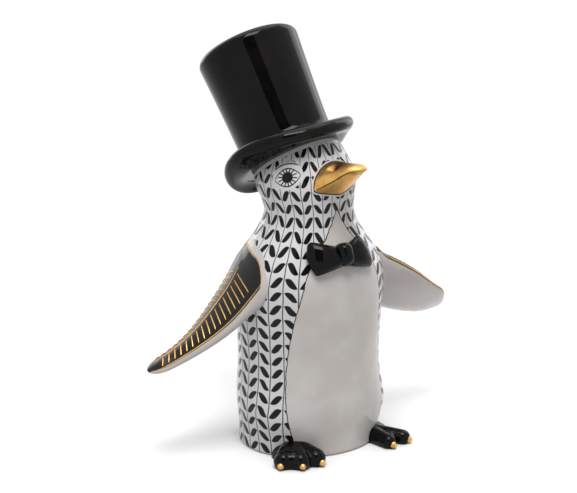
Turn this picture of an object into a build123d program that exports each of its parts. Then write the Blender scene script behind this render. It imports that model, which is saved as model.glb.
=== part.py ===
from build123d import *

import os
from dataclasses import dataclass
from math import cos, radians, sin

# A hollow porcelain penguin in a top hat and bow tie, standing on a flat oval foot.
# Millimetres and degrees. The origin is the middle of the flat foot, +Z is up,
# the bird faces -Y and its left wing is on +X.

# Trunk, from the ground to the neck joint, and the head above it
BODY_HEIGHT = 62.6
BODY_WIDTH = 40.0
BODY_DEPTH = 35.4
NECK_WIDTH = 23.8
NECK_DEPTH = 22.0
BASE_ROUND = 2.6
HEAD_HEIGHT = 20.4
HEAD_WIDTH = 26.2
HEAD_DEPTH = 25.8
HEAD_TURN_ANGLE = 11.0
# Level ovals of the trunk: share of its height, share of the way from the neck's size to the full size
TRUNK_STATIONS = [
    (0.054, 0.872),
    (0.176, 0.946),
    (0.351, 0.909),
    (0.591, 1.0),
    (0.791, 0.852),
    (0.885, 0.412),
    (0.952, 0.088),
    (1.0, 0.0),
]
# Level ovals of the head: shares of its height, width and depth, and the share of the depth it is set back
HEAD_STATIONS = [
    (0.314, 1.0, 1.0, 0.074),
    (0.657, 0.863, 0.868, 0.105),
    (1.0, 0.534, 0.535, 0.132),
]
# Thigh swellings over the feet, set in from the body's sides and front
THIGH_INSET = 7.8
THIGH_BACKSET = 10.7
THIGH_HEIGHT = 11.0
THIGH_RADIUS = 6.2
THIGH_HALF_HEIGHT = 9.5

# Walls of the castings and their firing vents
BODY_WALL = 3.0
BASE_FLOOR = 3.6
HAT_WALL = 2.4
BASE_VENT_RADIUS = 3.0
BASE_VENT_BACK = 7.0
HAT_VENT_RADIUS = 2.2

# Hat, tipped back and set a little to the bird's right; its flat seat is as wide as the head
HAT_LEAN_ANGLE = 34.0
HAT_SEAT_RISE = 6.4
HAT_SHIFT = 0.9
BRIM_OVERHANG = 5.1
BRIM_THICKNESS = 3.0
BRIM_RIM_RADIUS = 1.9
BRIM_CURL = 0.5
CROWN_HEIGHT = 30.2
CROWN_STEP = 0.8
CROWN_FLARE = 1.4
CROWN_COVE = 2.8
CROWN_EDGE = 2.2
CROWN_DOME = 0.8

# Bill: its mouth line climbs from a seat inside the head to the tip, between an upper and a lower half
BEAK_LENGTH = 13.9
BEAK_WIDTH = 14.2
BEAK_RISE = 5.7
BEAK_FALL = 3.7
BEAK_TIP_WIDTH = 2.2
BEAK_TIP_RISE = 0.6
BEAK_TIP_FALL = 1.1
BEAK_SEAT = 5.1
MOUTH_LOW = 2.6
MOUTH_CLIMB = 9.6
# Along the bill: share of its length, share of the way from tip to root size, share of the climb
BEAK_STATIONS = [
    (0.0, 1.06, 0.1),
    (0.22, 1.0, 0.35),
    (0.594, 0.68, 0.72),
    (0.844, 0.36, 0.96),
    (1.0, 0.0, 1.0),
]

# Bow tie on the collar, below the neck and turned a little to the bird's left
TIE_DROP = 9.7
TIE_TURN_ANGLE = 1.0
TIE_TILT_ANGLE = 24.0
TIE_FORWARD = 0.8
TIE_KNOT_WIDTH = 4.6
TIE_KNOT_HEIGHT = 6.4
TIE_KNOT_DEPTH = 5.6
TIE_KNOT_FORWARD = 0.6
TIE_LOOP_LENGTH = 9.4
TIE_LOOP_HEIGHT = 9.8
TIE_LOOP_THICKNESS = 3.8
TIE_WAIST_HEIGHT = 4.6
# Along a loop: share of its length, share of the way from waist to full height, share of the thickness
TIE_STATIONS = [(0.0, 0.0, 0.75), (0.55, 0.55, 1.0), (1.0, 1.0, 0.7)]
# Up the knot: share of its height from the middle, share of its width and depth
KNOT_STATIONS = [(-0.5, 0.7), (0.0, 1.0), (0.5, 0.7)]

# Flippers, each an arc that droops from the shoulder and flattens towards its tip
WING_LENGTH = 46.0
WING_CHORD = 16.2
WING_THICKNESS = 6.2
WING_SWEEP_ANGLE = 8.0
# Along a wing: share of its length, share of the chord, share of the thickness
WING_STATIONS = [
    (0.0, 0.5, 0.5),
    (0.22, 1.0, 1.0),
    (0.5, 0.9, 0.9),
    (0.78, 0.6, 0.6),
    (0.94, 0.36, 0.42),
    (1.0, 0.14, 0.22),
]

# Feet, set in from the body's sides and front, and claws
FOOT_INSET = 8.6
RIGHT_FOOT_BACKSET = 6.7
LEFT_FOOT_BACKSET = 8.1
FOOT_TURN_ANGLE = 18.0
INSTEP_RADIUS = 6.0
INSTEP_HEIGHT = 5.0
TOE_LENGTH = 9.6
TOE_SPLAY_ANGLE = 26.0
TOE_RADIUS = 2.5
TOE_AXIS_HEIGHT = 1.7
CLAW_LENGTH = 3.4
CLAW_RADIUS = 0.95
CLAW_HEIGHT = 1.2
CLAW_SHOWN = 1.5

QUARTER_TURN = 90
HALF_TURN = 180


@dataclass(frozen=True)
class Oval:
    """A level cross-section of the bird."""

    height: float
    width: float
    depth: float
    back: float = 0.0


@dataclass(frozen=True)
class WingPose:
    """How one wing is held: how far its root lies below the neck and inside the trunk, and its angles."""

    side: int
    drop: float
    inset: float
    droop: float
    lift: float
    twist: float


RIGHT_POSE = WingPose(side=-1, drop=7.4, inset=2.9, droop=68.0, lift=52.0, twist=-10.0)
LEFT_POSE = WingPose(side=1, drop=12.2, inset=8.2, droop=50.0, lift=38.0, twist=45.0)

def between(low, high, share):
    """Reads a size a share of the way from low to high."""
    return low + (high - low) * share


trunk_ovals = [
    Oval(
        height * BODY_HEIGHT,
        between(NECK_WIDTH, BODY_WIDTH, share),
        between(NECK_DEPTH, BODY_DEPTH, share),
    )
    for height, share in TRUNK_STATIONS
]
hem = trunk_ovals[0]
neck = trunk_ovals[-1]
face_ovals = [
    Oval(BODY_HEIGHT + height * HEAD_HEIGHT, width * HEAD_WIDTH, depth * HEAD_DEPTH, back * HEAD_DEPTH)
    for height, width, depth, back in HEAD_STATIONS
]
head_ovals = [neck, *face_ovals]
cheek = face_ovals[0]

# Directions of the turned head and of the hat's axis
UP = Vector(0, 0, 1)
head_side = Vector(1, 0, 0).rotate(Axis.Z, HEAD_TURN_ANGLE)
head_front = Vector(0, -1, 0).rotate(Axis.Z, HEAD_TURN_ANGLE)
head_middle = Vector(0, cheek.back, cheek.height)
hat_axis = UP.rotate(Axis.X, -HAT_LEAN_ANGLE).rotate(Axis.Z, HEAD_TURN_ANGLE)
hat_middle = head_middle + hat_axis * HAT_SEAT_RISE - head_side * HAT_SHIFT
hat_seat = Plane(hat_middle, x_dir=head_side, z_dir=hat_axis)


def stack(ovals, wall=0.0):
    """Lofts a solid through level ovals, each drawn in by the wall."""
    with BuildPart() as form:
        for oval in ovals:
            with BuildSketch(Plane((0, oval.back, oval.height))):
                Ellipse(oval.width / 2 - wall, oval.depth / 2 - wall)
        loft()
    return form.part


def spheroid(place, radius, half_height):
    """Turns a half ellipse about the place's own Z axis."""
    with BuildPart() as form:
        with BuildSketch(Plane(place.origin, x_dir=place.x_dir, z_dir=place.x_dir.cross(place.z_dir))):
            with BuildLine():
                EllipticalCenterArc(
                    (0, 0), radius, half_height, start_angle=-QUARTER_TURN, arc_size=HALF_TURN
                )
                Line((0, -half_height), (0, half_height))
            make_face()
        revolve(axis=Axis(place.origin, place.z_dir))
    return form.part


def trunk_at(height):
    """Gives the half width and half depth of the trunk at a height, read between its ovals."""
    for low, high in zip(trunk_ovals, trunk_ovals[1:]):
        if low.height <= height <= high.height:
            share = (height - low.height) / (high.height - low.height)
            return between(low.width, high.width, share) / 2, between(low.depth, high.depth, share) / 2
    return neck.width / 2, neck.depth / 2


# The outsides of trunk and head, which the applied pieces are cut to
trunk_stack = stack(trunk_ovals)
thigh_spread = BODY_WIDTH / 2 - THIGH_INSET
thigh_front = BODY_DEPTH / 2 - THIGH_BACKSET
thigh_places = [Plane((side * thigh_spread, -thigh_front, THIGH_HEIGHT)) for side in (-1, 1)]
thighs = [spheroid(place, THIGH_RADIUS, THIGH_HALF_HEIGHT) for place in thigh_places]
with BuildPart() as trunk_form:
    with BuildSketch(Plane.XY):
        Ellipse(hem.width / 2, hem.depth / 2)
    extrude(amount=hem.height)
    fillet(trunk_form.edges().group_by(Axis.Z)[0], BASE_ROUND)
    add(trunk_stack)
    add(thighs)
head_form = stack(head_ovals)

floor = Oval(BASE_FLOOR, hem.width, hem.depth)
trunk_cavity = stack([floor, *trunk_ovals[1:]], BODY_WALL)
head_cavity = stack(head_ovals, BODY_WALL)

with BuildPart() as body_shell:
    add(trunk_form.part)
    add(trunk_cavity, mode=Mode.SUBTRACT)
    with Locations((0, BASE_VENT_BACK, BASE_FLOOR)):
        Hole(BASE_VENT_RADIUS, 2 * BASE_FLOOR)
body_shell.part.label = "body_shell"

with BuildPart() as head_shell:
    add(head_form)
    add(head_cavity, mode=Mode.SUBTRACT)
    split(bisect_by=hat_seat, keep=Keep.BOTTOM)
head_shell.part.label = "head_shell"

# The hat: both pieces are turned about its axis, with the profile's X across it and Y along it
hat_profile = Plane(hat_seat.origin, x_dir=head_side, z_dir=head_side.cross(hat_axis))
hat_turning_axis = Axis(hat_seat.origin, hat_axis)
seat_radius = HEAD_WIDTH / 2
brim_radius = seat_radius + BRIM_OVERHANG
crown_foot = seat_radius - CROWN_STEP
crown_top = crown_foot + CROWN_FLARE
cove_edge = crown_foot + CROWN_COVE
cove_top = BRIM_THICKNESS + CROWN_COVE
hat_top = BRIM_THICKNESS + CROWN_HEIGHT
edge_middle = crown_top - CROWN_EDGE
rim_middle = brim_radius - BRIM_RIM_RADIUS
rim_high = BRIM_CURL + 2 * BRIM_RIM_RADIUS

with BuildPart() as hat_brim:
    with BuildSketch(hat_profile):
        with BuildLine():
            Line((0, 0), (seat_radius, 0))
            Spline((seat_radius, 0), (rim_middle, BRIM_CURL), tangents=[(1, 0), (1, 0)])
            CenterArc((rim_middle, BRIM_CURL + BRIM_RIM_RADIUS), BRIM_RIM_RADIUS, -QUARTER_TURN, HALF_TURN)
            Spline((rim_middle, rim_high), (cove_edge, BRIM_THICKNESS), tangents=[(-1, 0), (-1, 0)])
            Polyline((cove_edge, BRIM_THICKNESS), (0, BRIM_THICKNESS), (0, 0))
        make_face()
    revolve(axis=hat_turning_axis)
    with Locations(hat_seat.offset(BRIM_THICKNESS)):
        Hole(HAT_VENT_RADIUS, 2 * BRIM_THICKNESS)
hat_brim.part.label = "hat_brim"

with BuildPart() as hat_crown:
    with BuildSketch(hat_profile):
        with BuildLine():
            RadiusArc((cove_edge, BRIM_THICKNESS), (crown_foot, cove_top), CROWN_COVE)
            Line((crown_foot, cove_top), (crown_top, hat_top - CROWN_EDGE))
            CenterArc((edge_middle, hat_top - CROWN_EDGE), CROWN_EDGE, 0, QUARTER_TURN)
            Spline((edge_middle, hat_top), (0, hat_top + CROWN_DOME), tangents=[(-1, 0), (-1, 0)])
            Polyline(
                (0, hat_top + CROWN_DOME),
                (0, hat_top - HAT_WALL),
                (crown_top - HAT_WALL, hat_top - HAT_WALL),
                (crown_foot - HAT_WALL, BRIM_THICKNESS),
                (cove_edge, BRIM_THICKNESS),
            )
        make_face()
    revolve(axis=hat_turning_axis)
hat_crown.part.label = "hat_crown"

# The bill: one form through ovals with an upper and a lower half, cut to the face and parted at the mouth
beak_root = HEAD_DEPTH / 2 - BEAK_SEAT
mouth_line = [
    (beak_root + reach * BEAK_LENGTH, climb * MOUTH_CLIMB - MOUTH_LOW)
    for reach, share, climb in BEAK_STATIONS
]
with BuildPart() as bill_form:
    for (forward, rise), (reach, share, climb) in zip(mouth_line, BEAK_STATIONS):
        half_width = between(BEAK_TIP_WIDTH, BEAK_WIDTH, share) / 2
        above = between(BEAK_TIP_RISE, BEAK_RISE, share)
        below = between(BEAK_TIP_FALL, BEAK_FALL, share)
        place = head_middle + head_front * forward + UP * rise
        with BuildSketch(Plane(place, x_dir=head_side, z_dir=head_front)):
            with BuildLine():
                EllipticalCenterArc((0, 0), half_width, above, start_angle=0, arc_size=HALF_TURN)
                EllipticalCenterArc((0, 0), half_width, below, start_angle=HALF_TURN, arc_size=HALF_TURN)
            make_face()
    loft()
    add(head_form, mode=Mode.SUBTRACT)

mouth_start = (0, mouth_line[0][1])
mouth_end = (mouth_line[-1][0] + BEAK_TIP_WIDTH, mouth_line[-1][1])
mouth_top = MOUTH_CLIMB + BEAK_RISE
with BuildPart() as above_mouth:
    with BuildSketch(Plane(head_middle, x_dir=head_front, z_dir=head_front.cross(UP))):
        with BuildLine():
            Spline(mouth_start, *mouth_line, mouth_end)
            Polyline(mouth_end, (mouth_end[0], mouth_top), (0, mouth_top), mouth_start)
        make_face()
    extrude(amount=BEAK_WIDTH, both=True)

with BuildPart() as beak_upper:
    add(bill_form.part)
    add(above_mouth.part, mode=Mode.INTERSECT)
beak_upper.part.label = "beak_upper"

with BuildPart() as beak_lower:
    add(bill_form.part)
    add(above_mouth.part, mode=Mode.SUBTRACT)
beak_lower.part.label = "beak_lower"

# The bow tie lies on the slope of the collar, and its loops follow the collar round
tie_height = BODY_HEIGHT - TIE_DROP
collar_half_width, collar_half_depth = trunk_at(tie_height)


def collar_place(way, forward):
    """A frame on the collar, a way round it from the tie's middle: X up its slope, Y off it, Z sideways."""
    turn = radians(TIE_TURN_ANGLE) + way / collar_half_width
    point = Vector(collar_half_width * sin(turn), -collar_half_depth * cos(turn), tie_height)
    level = Vector(collar_half_depth * sin(turn), -collar_half_width * cos(turn), 0).normalized()
    sideways = UP.cross(level)
    outward = level.rotate(Axis((0, 0, 0), sideways), -TIE_TILT_ANGLE)
    return Plane(point + outward * forward, x_dir=outward.cross(sideways), z_dir=sideways)


knot_place = collar_place(0, TIE_FORWARD + TIE_KNOT_FORWARD)
with BuildPart() as tie_knot:
    for rise, share in KNOT_STATIONS:
        level_middle = knot_place.origin + knot_place.x_dir * (rise * TIE_KNOT_HEIGHT)
        with BuildSketch(Plane(level_middle, x_dir=knot_place.z_dir, z_dir=knot_place.x_dir)):
            Ellipse(share * TIE_KNOT_WIDTH / 2, share * TIE_KNOT_DEPTH / 2)
    loft()
    add(trunk_form.part, mode=Mode.SUBTRACT)
tie_knot.part.label = "tie_knot"


def tie_loop(side):
    """Lofts one loop outwards from the knot, round the collar."""
    with BuildPart() as loop:
        for reach, growth, share in TIE_STATIONS:
            height = between(TIE_WAIST_HEIGHT, TIE_LOOP_HEIGHT, growth)
            with BuildSketch(collar_place(side * reach * TIE_LOOP_LENGTH, TIE_FORWARD)):
                Ellipse(height / 2, share * TIE_LOOP_THICKNESS / 2)
        loft()
        add(trunk_form.part, mode=Mode.SUBTRACT)
        add(tie_knot.part, mode=Mode.SUBTRACT)
    return loop


tie_right_loop = tie_loop(-1)
tie_right_loop.part.label = "tie_right_loop"

tie_left_loop = tie_loop(1)
tie_left_loop.part.label = "tie_left_loop"


def flipper(pose):
    """Lofts a wing along an arc that starts at the droop and is lifted by so much at its tip."""
    sweep = radians(WING_SWEEP_ANGLE)
    out = Vector(pose.side * cos(sweep), sin(sweep), 0)
    across = Vector(-pose.side * sin(sweep), cos(sweep), 0)
    height = BODY_HEIGHT - pose.drop
    root = Vector(pose.side * (trunk_at(height)[0] - pose.inset), 0, height)
    start = radians(pose.droop)
    arc_radius = WING_LENGTH / radians(pose.lift)
    with BuildPart() as wing:
        for reach, chord_share, thickness_share in WING_STATIONS:
            angle = start - reach * radians(pose.lift)
            outward = (sin(start) - sin(angle)) * arc_radius
            down = (cos(angle) - cos(start)) * arc_radius
            along = out * cos(angle) - UP * sin(angle)
            chord_way = across.rotate(Axis((0, 0, 0), along), -pose.side * pose.twist)
            with BuildSketch(Plane(root + out * outward - UP * down, x_dir=chord_way, z_dir=along)):
                Ellipse(chord_share * WING_CHORD / 2, thickness_share * WING_THICKNESS / 2)
        loft()
        add(trunk_form.part, mode=Mode.SUBTRACT)
    return wing


right_wing = flipper(RIGHT_POSE)
right_wing.part.label = "right_wing"

left_wing = flipper(LEFT_POSE)
left_wing.part.label = "left_wing"

# Feet: a domed instep with three toes, cut flat on the ground, and a claw let into each toe
foot_spread = BODY_WIDTH / 2 - FOOT_INSET
right_ankle = Vector(-foot_spread, RIGHT_FOOT_BACKSET - BODY_DEPTH / 2, 0)
left_ankle = Vector(foot_spread, LEFT_FOOT_BACKSET - BODY_DEPTH / 2, 0)
claw_reach = TOE_LENGTH + TOE_RADIUS + CLAW_SHOWN - CLAW_LENGTH / 2


def toe_ways(side):
    """The level directions of the three toes of one foot."""
    turns = [side * (FOOT_TURN_ANGLE + splay) for splay in (-TOE_SPLAY_ANGLE, 0, TOE_SPLAY_ANGLE)]
    return [Vector(0, -1, 0).rotate(Axis.Z, turn) for turn in turns]


def claws(side, ankle):
    """The three claws of one foot, each a spheroid lying along its toe."""
    level = ankle + UP * CLAW_HEIGHT
    forms = [
        spheroid(Plane(level + way * claw_reach, x_dir=UP, z_dir=way), CLAW_RADIUS, CLAW_LENGTH / 2)
        for way in toe_ways(side)
    ]
    with BuildPart() as trio:
        add(forms)
        split(bisect_by=Plane.XY, keep=Keep.TOP)
    return trio


def foot(side, ankle, own_claws):
    """One foot, cut to the body above it and hollowed where its claws sit."""
    toe_start = ankle + UP * TOE_AXIS_HEIGHT
    instep = spheroid(Plane(ankle), INSTEP_RADIUS, INSTEP_HEIGHT)
    with BuildPart() as form:
        add(instep)
        for way in toe_ways(side):
            with BuildSketch(Plane(toe_start, x_dir=UP, z_dir=way)):
                Circle(TOE_RADIUS)
            extrude(amount=TOE_LENGTH)
            with Locations(toe_start + way * TOE_LENGTH):
                Sphere(TOE_RADIUS)
        split(bisect_by=Plane.XY, keep=Keep.TOP)
        add(trunk_form.part, mode=Mode.SUBTRACT)
        add(own_claws.part, mode=Mode.SUBTRACT)
    return form


right_claws = claws(-1, right_ankle)
right_claws.part.label = "right_claws"

left_claws = claws(1, left_ankle)
left_claws.part.label = "left_claws"

right_foot = foot(-1, right_ankle, right_claws)
right_foot.part.label = "right_foot"

left_foot = foot(1, left_ankle, left_claws)
left_foot.part.label = "left_foot"

pieces = [
    body_shell,
    head_shell,
    hat_brim,
    hat_crown,
    beak_upper,
    beak_lower,
    tie_knot,
    tie_right_loop,
    tie_left_loop,
    right_wing,
    left_wing,
    right_foot,
    left_foot,
    right_claws,
    left_claws,
]

os.makedirs("parts", exist_ok=True)
for piece in pieces:
    export_step(piece.part, f"parts/{piece.part.label}.step")
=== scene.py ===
import logging
import math
from dataclasses import dataclass
from enum import Enum
from typing import Any, Callable, Mapping, Optional, Sequence, Union

import bmesh
import bpy
import numpy as np
from mathutils import Matrix, Vector
from mathutils.kdtree import KDTree


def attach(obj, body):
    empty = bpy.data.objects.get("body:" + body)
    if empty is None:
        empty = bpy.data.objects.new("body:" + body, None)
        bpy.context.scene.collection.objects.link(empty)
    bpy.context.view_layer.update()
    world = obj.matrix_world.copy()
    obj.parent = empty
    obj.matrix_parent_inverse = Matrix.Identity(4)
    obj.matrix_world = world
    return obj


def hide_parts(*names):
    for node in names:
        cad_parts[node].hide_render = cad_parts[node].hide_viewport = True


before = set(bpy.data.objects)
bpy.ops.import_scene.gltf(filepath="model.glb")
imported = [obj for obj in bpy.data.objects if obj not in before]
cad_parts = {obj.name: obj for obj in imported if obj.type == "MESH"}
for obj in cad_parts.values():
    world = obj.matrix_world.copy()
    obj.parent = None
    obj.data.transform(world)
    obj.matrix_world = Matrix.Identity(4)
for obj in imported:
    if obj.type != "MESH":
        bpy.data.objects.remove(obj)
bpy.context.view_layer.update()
LOG = logging.getLogger("penguin")
MM = 0.001
TURN = 2.0 * math.pi
UP = np.array([0.0, 0.0, 1.0])
HALVINGS = 40
SHARP_ANGLE = math.radians(50.0)
Number = Union[float, int, "Wire"]
Colour = tuple[float, float, float]
Spot = tuple[float, float]


class Slot(Enum):
    """The record's material slots."""

    WHITE = "white_porcelain"
    BLACK = "black_glaze"
    GOLD = "gold_lustre"


class Side(Enum):
    """A side of the bird, with its sign along X."""

    RIGHT = -1
    LEFT = 1

    @property
    def label(self) -> str:
        """The side's name in a node."""
        return self.name.lower()


@dataclass
class Wire:
    """A node socket that works as a number: each operator adds a Math node."""

    bench: "NodeBench"
    socket: bpy.types.NodeSocket

    def math(self, operation: str, *others: Number) -> "Wire":
        """Adds one Math node fed by this socket.

        Args:
            operation: the Math node's operation.
            others: its other inputs.

        Returns:
            The node's result.
        """
        values = dict(enumerate((self, *others)))
        return self.bench.out("ShaderNodeMath", {"operation": operation}, values)

    def __add__(self, other: Number) -> "Wire":
        """The sum."""
        return self.math("ADD", other)

    __radd__ = __add__

    def __mul__(self, other: Number) -> "Wire":
        """The product."""
        return self.math("MULTIPLY", other)

    __rmul__ = __mul__

    def __sub__(self, other: Number) -> "Wire":
        """The difference."""
        return self.math("SUBTRACT", other)

    def __rsub__(self, other: Number) -> "Wire":
        """The difference from a number."""
        return self.math("MULTIPLY_ADD", -1.0, other)

    def __truediv__(self, other: Number) -> "Wire":
        """The quotient."""
        return self.math("DIVIDE", other)

    def __rtruediv__(self, other: Number) -> "Wire":
        """A number divided by this."""
        return self.math("POWER", -1.0) * other

    def __abs__(self) -> "Wire":
        """The size without its sign."""
        return self.math("ABSOLUTE")

    def __mod__(self, other: Number) -> "Wire":
        """The remainder, never negative."""
        return self.math("FLOORED_MODULO", other)

    def step(self, soft: float) -> "Wire":
        """A mask that rises from 0 to 1 as the value goes from 0 to soft."""
        limits = {"From Min": 0.0, "From Max": soft, "To Min": 0.0, "To Max": 1.0}
        settings = {"interpolation_type": "SMOOTHSTEP", "clamp": True}
        return self.bench.out("ShaderNodeMapRange", settings, {"Value": self, **limits})

    def atleast(self, other: Number) -> "Wire":
        """The larger of the two."""
        return self.math("MAXIMUM", other)


class NodeBench:
    """Adds nodes to one tree, for a material or for geometry."""

    def __init__(self, tree: bpy.types.NodeTree) -> None:
        """Takes the tree.

        Args:
            tree: the node tree to add to.
        """
        self.tree = tree

    def node(
        self,
        kind: str,
        settings: Optional[Mapping[str, Any]] = None,
        sockets: Optional[Mapping[Union[str, int], Any]] = None,
    ) -> bpy.types.Node:
        """Adds one node.

        Args:
            kind: the node's type.
            settings: its properties, set first; "stops" are a ramp's positions and colours.
            sockets: values or links of its inputs, by name or number.

        Returns:
            The node.
        """
        made = self.tree.nodes.new(kind)
        for key, value in (settings or {}).items():
            if key == "stops":
                self._set_stops(made.color_ramp, value)
            else:
                setattr(made, key, value)
        for key, value in (sockets or {}).items():
            self.feed(made.inputs[key], value)
        return made

    def feed(self, entry: bpy.types.NodeSocket, value: Any) -> None:
        """Sets or links one input of a node.

        Args:
            entry: the input.
            value: its value or its link.
        """
        if isinstance(value, Wire):
            self.tree.links.new(value.socket, entry)
        else:
            entry.default_value = value

    @staticmethod
    def _set_stops(ramp: bpy.types.ColorRamp, stops: Sequence[tuple[float, Colour]]) -> None:
        """Fills a colour ramp.

        Args:
            ramp: the ramp.
            stops: positions and colours, from low to high.
        """
        while len(ramp.elements) < len(stops):
            ramp.elements.new(1.0)
        for element, (place, colour) in zip(ramp.elements, stops):
            element.position = place
            element.color = (*colour, 1.0)

    def out(
        self,
        kind: str,
        settings: Optional[Mapping[str, Any]] = None,
        sockets: Optional[Mapping[Union[str, int], Any]] = None,
        output: Union[str, int] = 0,
    ) -> Wire:
        """Adds one node and gives one of its outputs.

        Args:
            kind: the node's type.
            settings: its properties.
            sockets: values or links of its inputs.
            output: the output's name or number.

        Returns:
            That output.
        """
        return Wire(self, self.node(kind, settings, sockets).outputs[output])

    def mix_colours(self, factor: Number, low: Any, high: Any) -> Wire:
        """Mixes two colours.

        Args:
            factor: 0 for the first, 1 for the second.
            low: the first colour or its link.
            high: the second colour or its link.

        Returns:
            The mixed colour.
        """
        pair = [value if isinstance(value, Wire) else (*value, 1.0) for value in (low, high)]
        return self.out("ShaderNodeMix", {"data_type": "RGBA"}, {0: factor, 6: pair[0], 7: pair[1]}, 2)


class Paint(NodeBench):
    """A material in the making, with one Principled shader."""

    def __init__(self, name: str) -> None:
        """Starts an empty material.

        Args:
            name: the material's name.
        """
        self.material = bpy.data.materials.new(name)
        self.material.use_nodes = True
        super().__init__(self.material.node_tree)
        self.tree.nodes.clear()
        self.shader = self.node("ShaderNodeBsdfPrincipled")
        self.node("ShaderNodeOutputMaterial", sockets={"Surface": Wire(self, self.shader.outputs[0])})

    def set(self, **inputs: Any) -> None:
        """Sets or links inputs of the shader.

        Args:
            inputs: values or links, with _ for each space in a name.
        """
        for key, value in inputs.items():
            self.feed(self.shader.inputs[key.replace("_", " ")], value)

    def place(self) -> Wire:
        """The point on the object, in metres."""
        return self.out("ShaderNodeTexCoord", output="Object")

    def along(self, direction: Sequence[float], origin: Sequence[float]) -> Wire:
        """How far the point lies along a direction.

        Args:
            direction: a unit vector.
            origin: where to measure from, in mm.

        Returns:
            The distance in mm.
        """
        start = [value * MM for value in origin]
        offset = self.out("ShaderNodeVectorMath", {"operation": "SUBTRACT"}, {0: self.place(), 1: start})
        reach = {0: offset, 1: tuple(direction)}
        return self.out("ShaderNodeVectorMath", {"operation": "DOT_PRODUCT"}, reach, "Value") / MM

    def noise(self, size: float, detail: float = 2.0) -> Wire:
        """Cloudy variation over the object.

        Args:
            size: the size of its clouds, in mm.
            detail: how many finer layers it has.

        Returns:
            A value about 0.5.
        """
        sockets = {"Vector": self.place(), "Scale": 1.0 / (size * MM), "Detail": detail}
        return self.out("ShaderNodeTexNoise", {"normalize": True}, sockets, 0)

    def mark(self, name: str) -> Wire:
        """Reads a number stored on the mesh."""
        return self.out("ShaderNodeAttribute", {"attribute_name": name}, output="Fac")

    def bump(self, height: Wire, depth: float) -> None:
        """Raises the surface by a height in mm.

        Args:
            height: the relief, 0 to 1.
            depth: its full height in mm.
        """
        relief = {"Height": height, "Distance": depth * MM, "Strength": 1.0}
        self.set(Normal=self.out("ShaderNodeBump", sockets=relief))


@dataclass(frozen=True)
class Porcelain:
    """Glazed white porcelain, a little uneven in tone."""

    white: Colour = (0.66, 0.635, 0.615)
    shade: Colour = (0.60, 0.565, 0.54)
    cloud: float = 9.0
    roughness: float = 0.16
    coat: float = 0.45
    coat_roughness: float = 0.04
    specular: float = 0.12
    gloss_spread: float = 0.08

    def ground(self, paint: Paint) -> Wire:
        """The glaze's own colour, for painting over.

        Args:
            paint: the material in the making.

        Returns:
            The colour.
        """
        cloud = (paint.noise(self.cloud) - 0.35).step(0.35)
        return paint.mix_colours(cloud, self.shade, self.white)

    def finish(
        self, paint: Paint, ground: Wire, black: Wire, ink: Colour, ink_coat: float = 0.1
    ) -> bpy.types.Material:
        """Gives the shader its painted glaze.

        Args:
            paint: the material in the making.
            ground: the colour of the bare parts.
            black: 1 where it is painted, 0 where it is bare.
            ink: the painted colour.
            ink_coat: how much gloss the painted parts have.

        Returns:
            The material.
        """
        gloss = (paint.noise(self.cloud * 0.6) - 0.5) * self.gloss_spread + self.roughness
        colour = paint.mix_colours(black, ground, ink)
        coat = black * (ink_coat - self.coat) + self.coat
        paint.set(Base_Color=colour, Roughness=gloss, Specular_IOR_Level=self.specular)
        paint.set(Coat_Weight=coat, Coat_Roughness=self.coat_roughness)
        return paint.material


@dataclass(frozen=True)
class BlackGlaze:
    """Thick glossy black glaze, a trace browner where it runs thin."""

    black: Colour = (0.003, 0.003, 0.003)
    thin: Colour = (0.006, 0.005, 0.0045)
    roughness: float = 0.045
    specular: float = 0.125
    pool: float = 6.0
    speck: float = 0.5
    ripple: float = 3.2
    ripple_depth: float = 0.008

    def material(self, name: str) -> bpy.types.Material:
        """Makes the material.

        Args:
            name: its name.

        Returns:
            The material.
        """
        paint = Paint(name)
        pool = (paint.noise(self.pool) - 0.4).step(0.3)
        specks = (paint.noise(self.speck, 0.0) - 0.72).step(0.06)
        gloss = paint.noise(4.0) * 0.03 + specks * 0.2 + (self.roughness - 0.015)
        colour = paint.mix_colours(pool, self.black, self.thin)
        paint.set(Base_Color=colour, Roughness=gloss, Specular_IOR_Level=self.specular)
        paint.bump(paint.noise(self.ripple, 1.0), self.ripple_depth)
        return paint.material


@dataclass(frozen=True)
class GoldLustre:
    """Fired gold, brushed on thinly over the glaze."""

    gold: Colour = (0.69, 0.40, 0.12)
    rubbed: Colour = (0.56, 0.315, 0.095)
    # The colour of the painted shade and painted dark reflection on the gilding.
    dark: Colour = (0.15, 0.075, 0.022)
    roughness: float = 0.43
    wear: float = 1.6
    grain: float = 0.35
    grain_depth: float = 0.01

    def material(self, name: str) -> bpy.types.Material:
        """Makes the material.

        Args:
            name: its name.

        Returns:
            The material.
        """
        paint = Paint(name)
        worn = (paint.noise(self.wear) - 0.4).step(0.3)
        grain = paint.noise(self.grain, 0.0)
        tone = paint.mix_colours(worn, self.gold, self.rubbed)
        # The base colour darkens towards the dark colour where the mesh carries the mark: painted shade in
        # the nostrils and a painted dark reflection along the bill's ridge.
        paint.set(
            Base_Color=paint.mix_colours(paint.mark("painted_shade"), tone, self.dark),
            Metallic=1.0,
            Roughness=worn * 0.07 + grain * 0.08 + (self.roughness - 0.06),
        )
        paint.bump(grain, self.grain_depth)
        return paint.material


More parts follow.
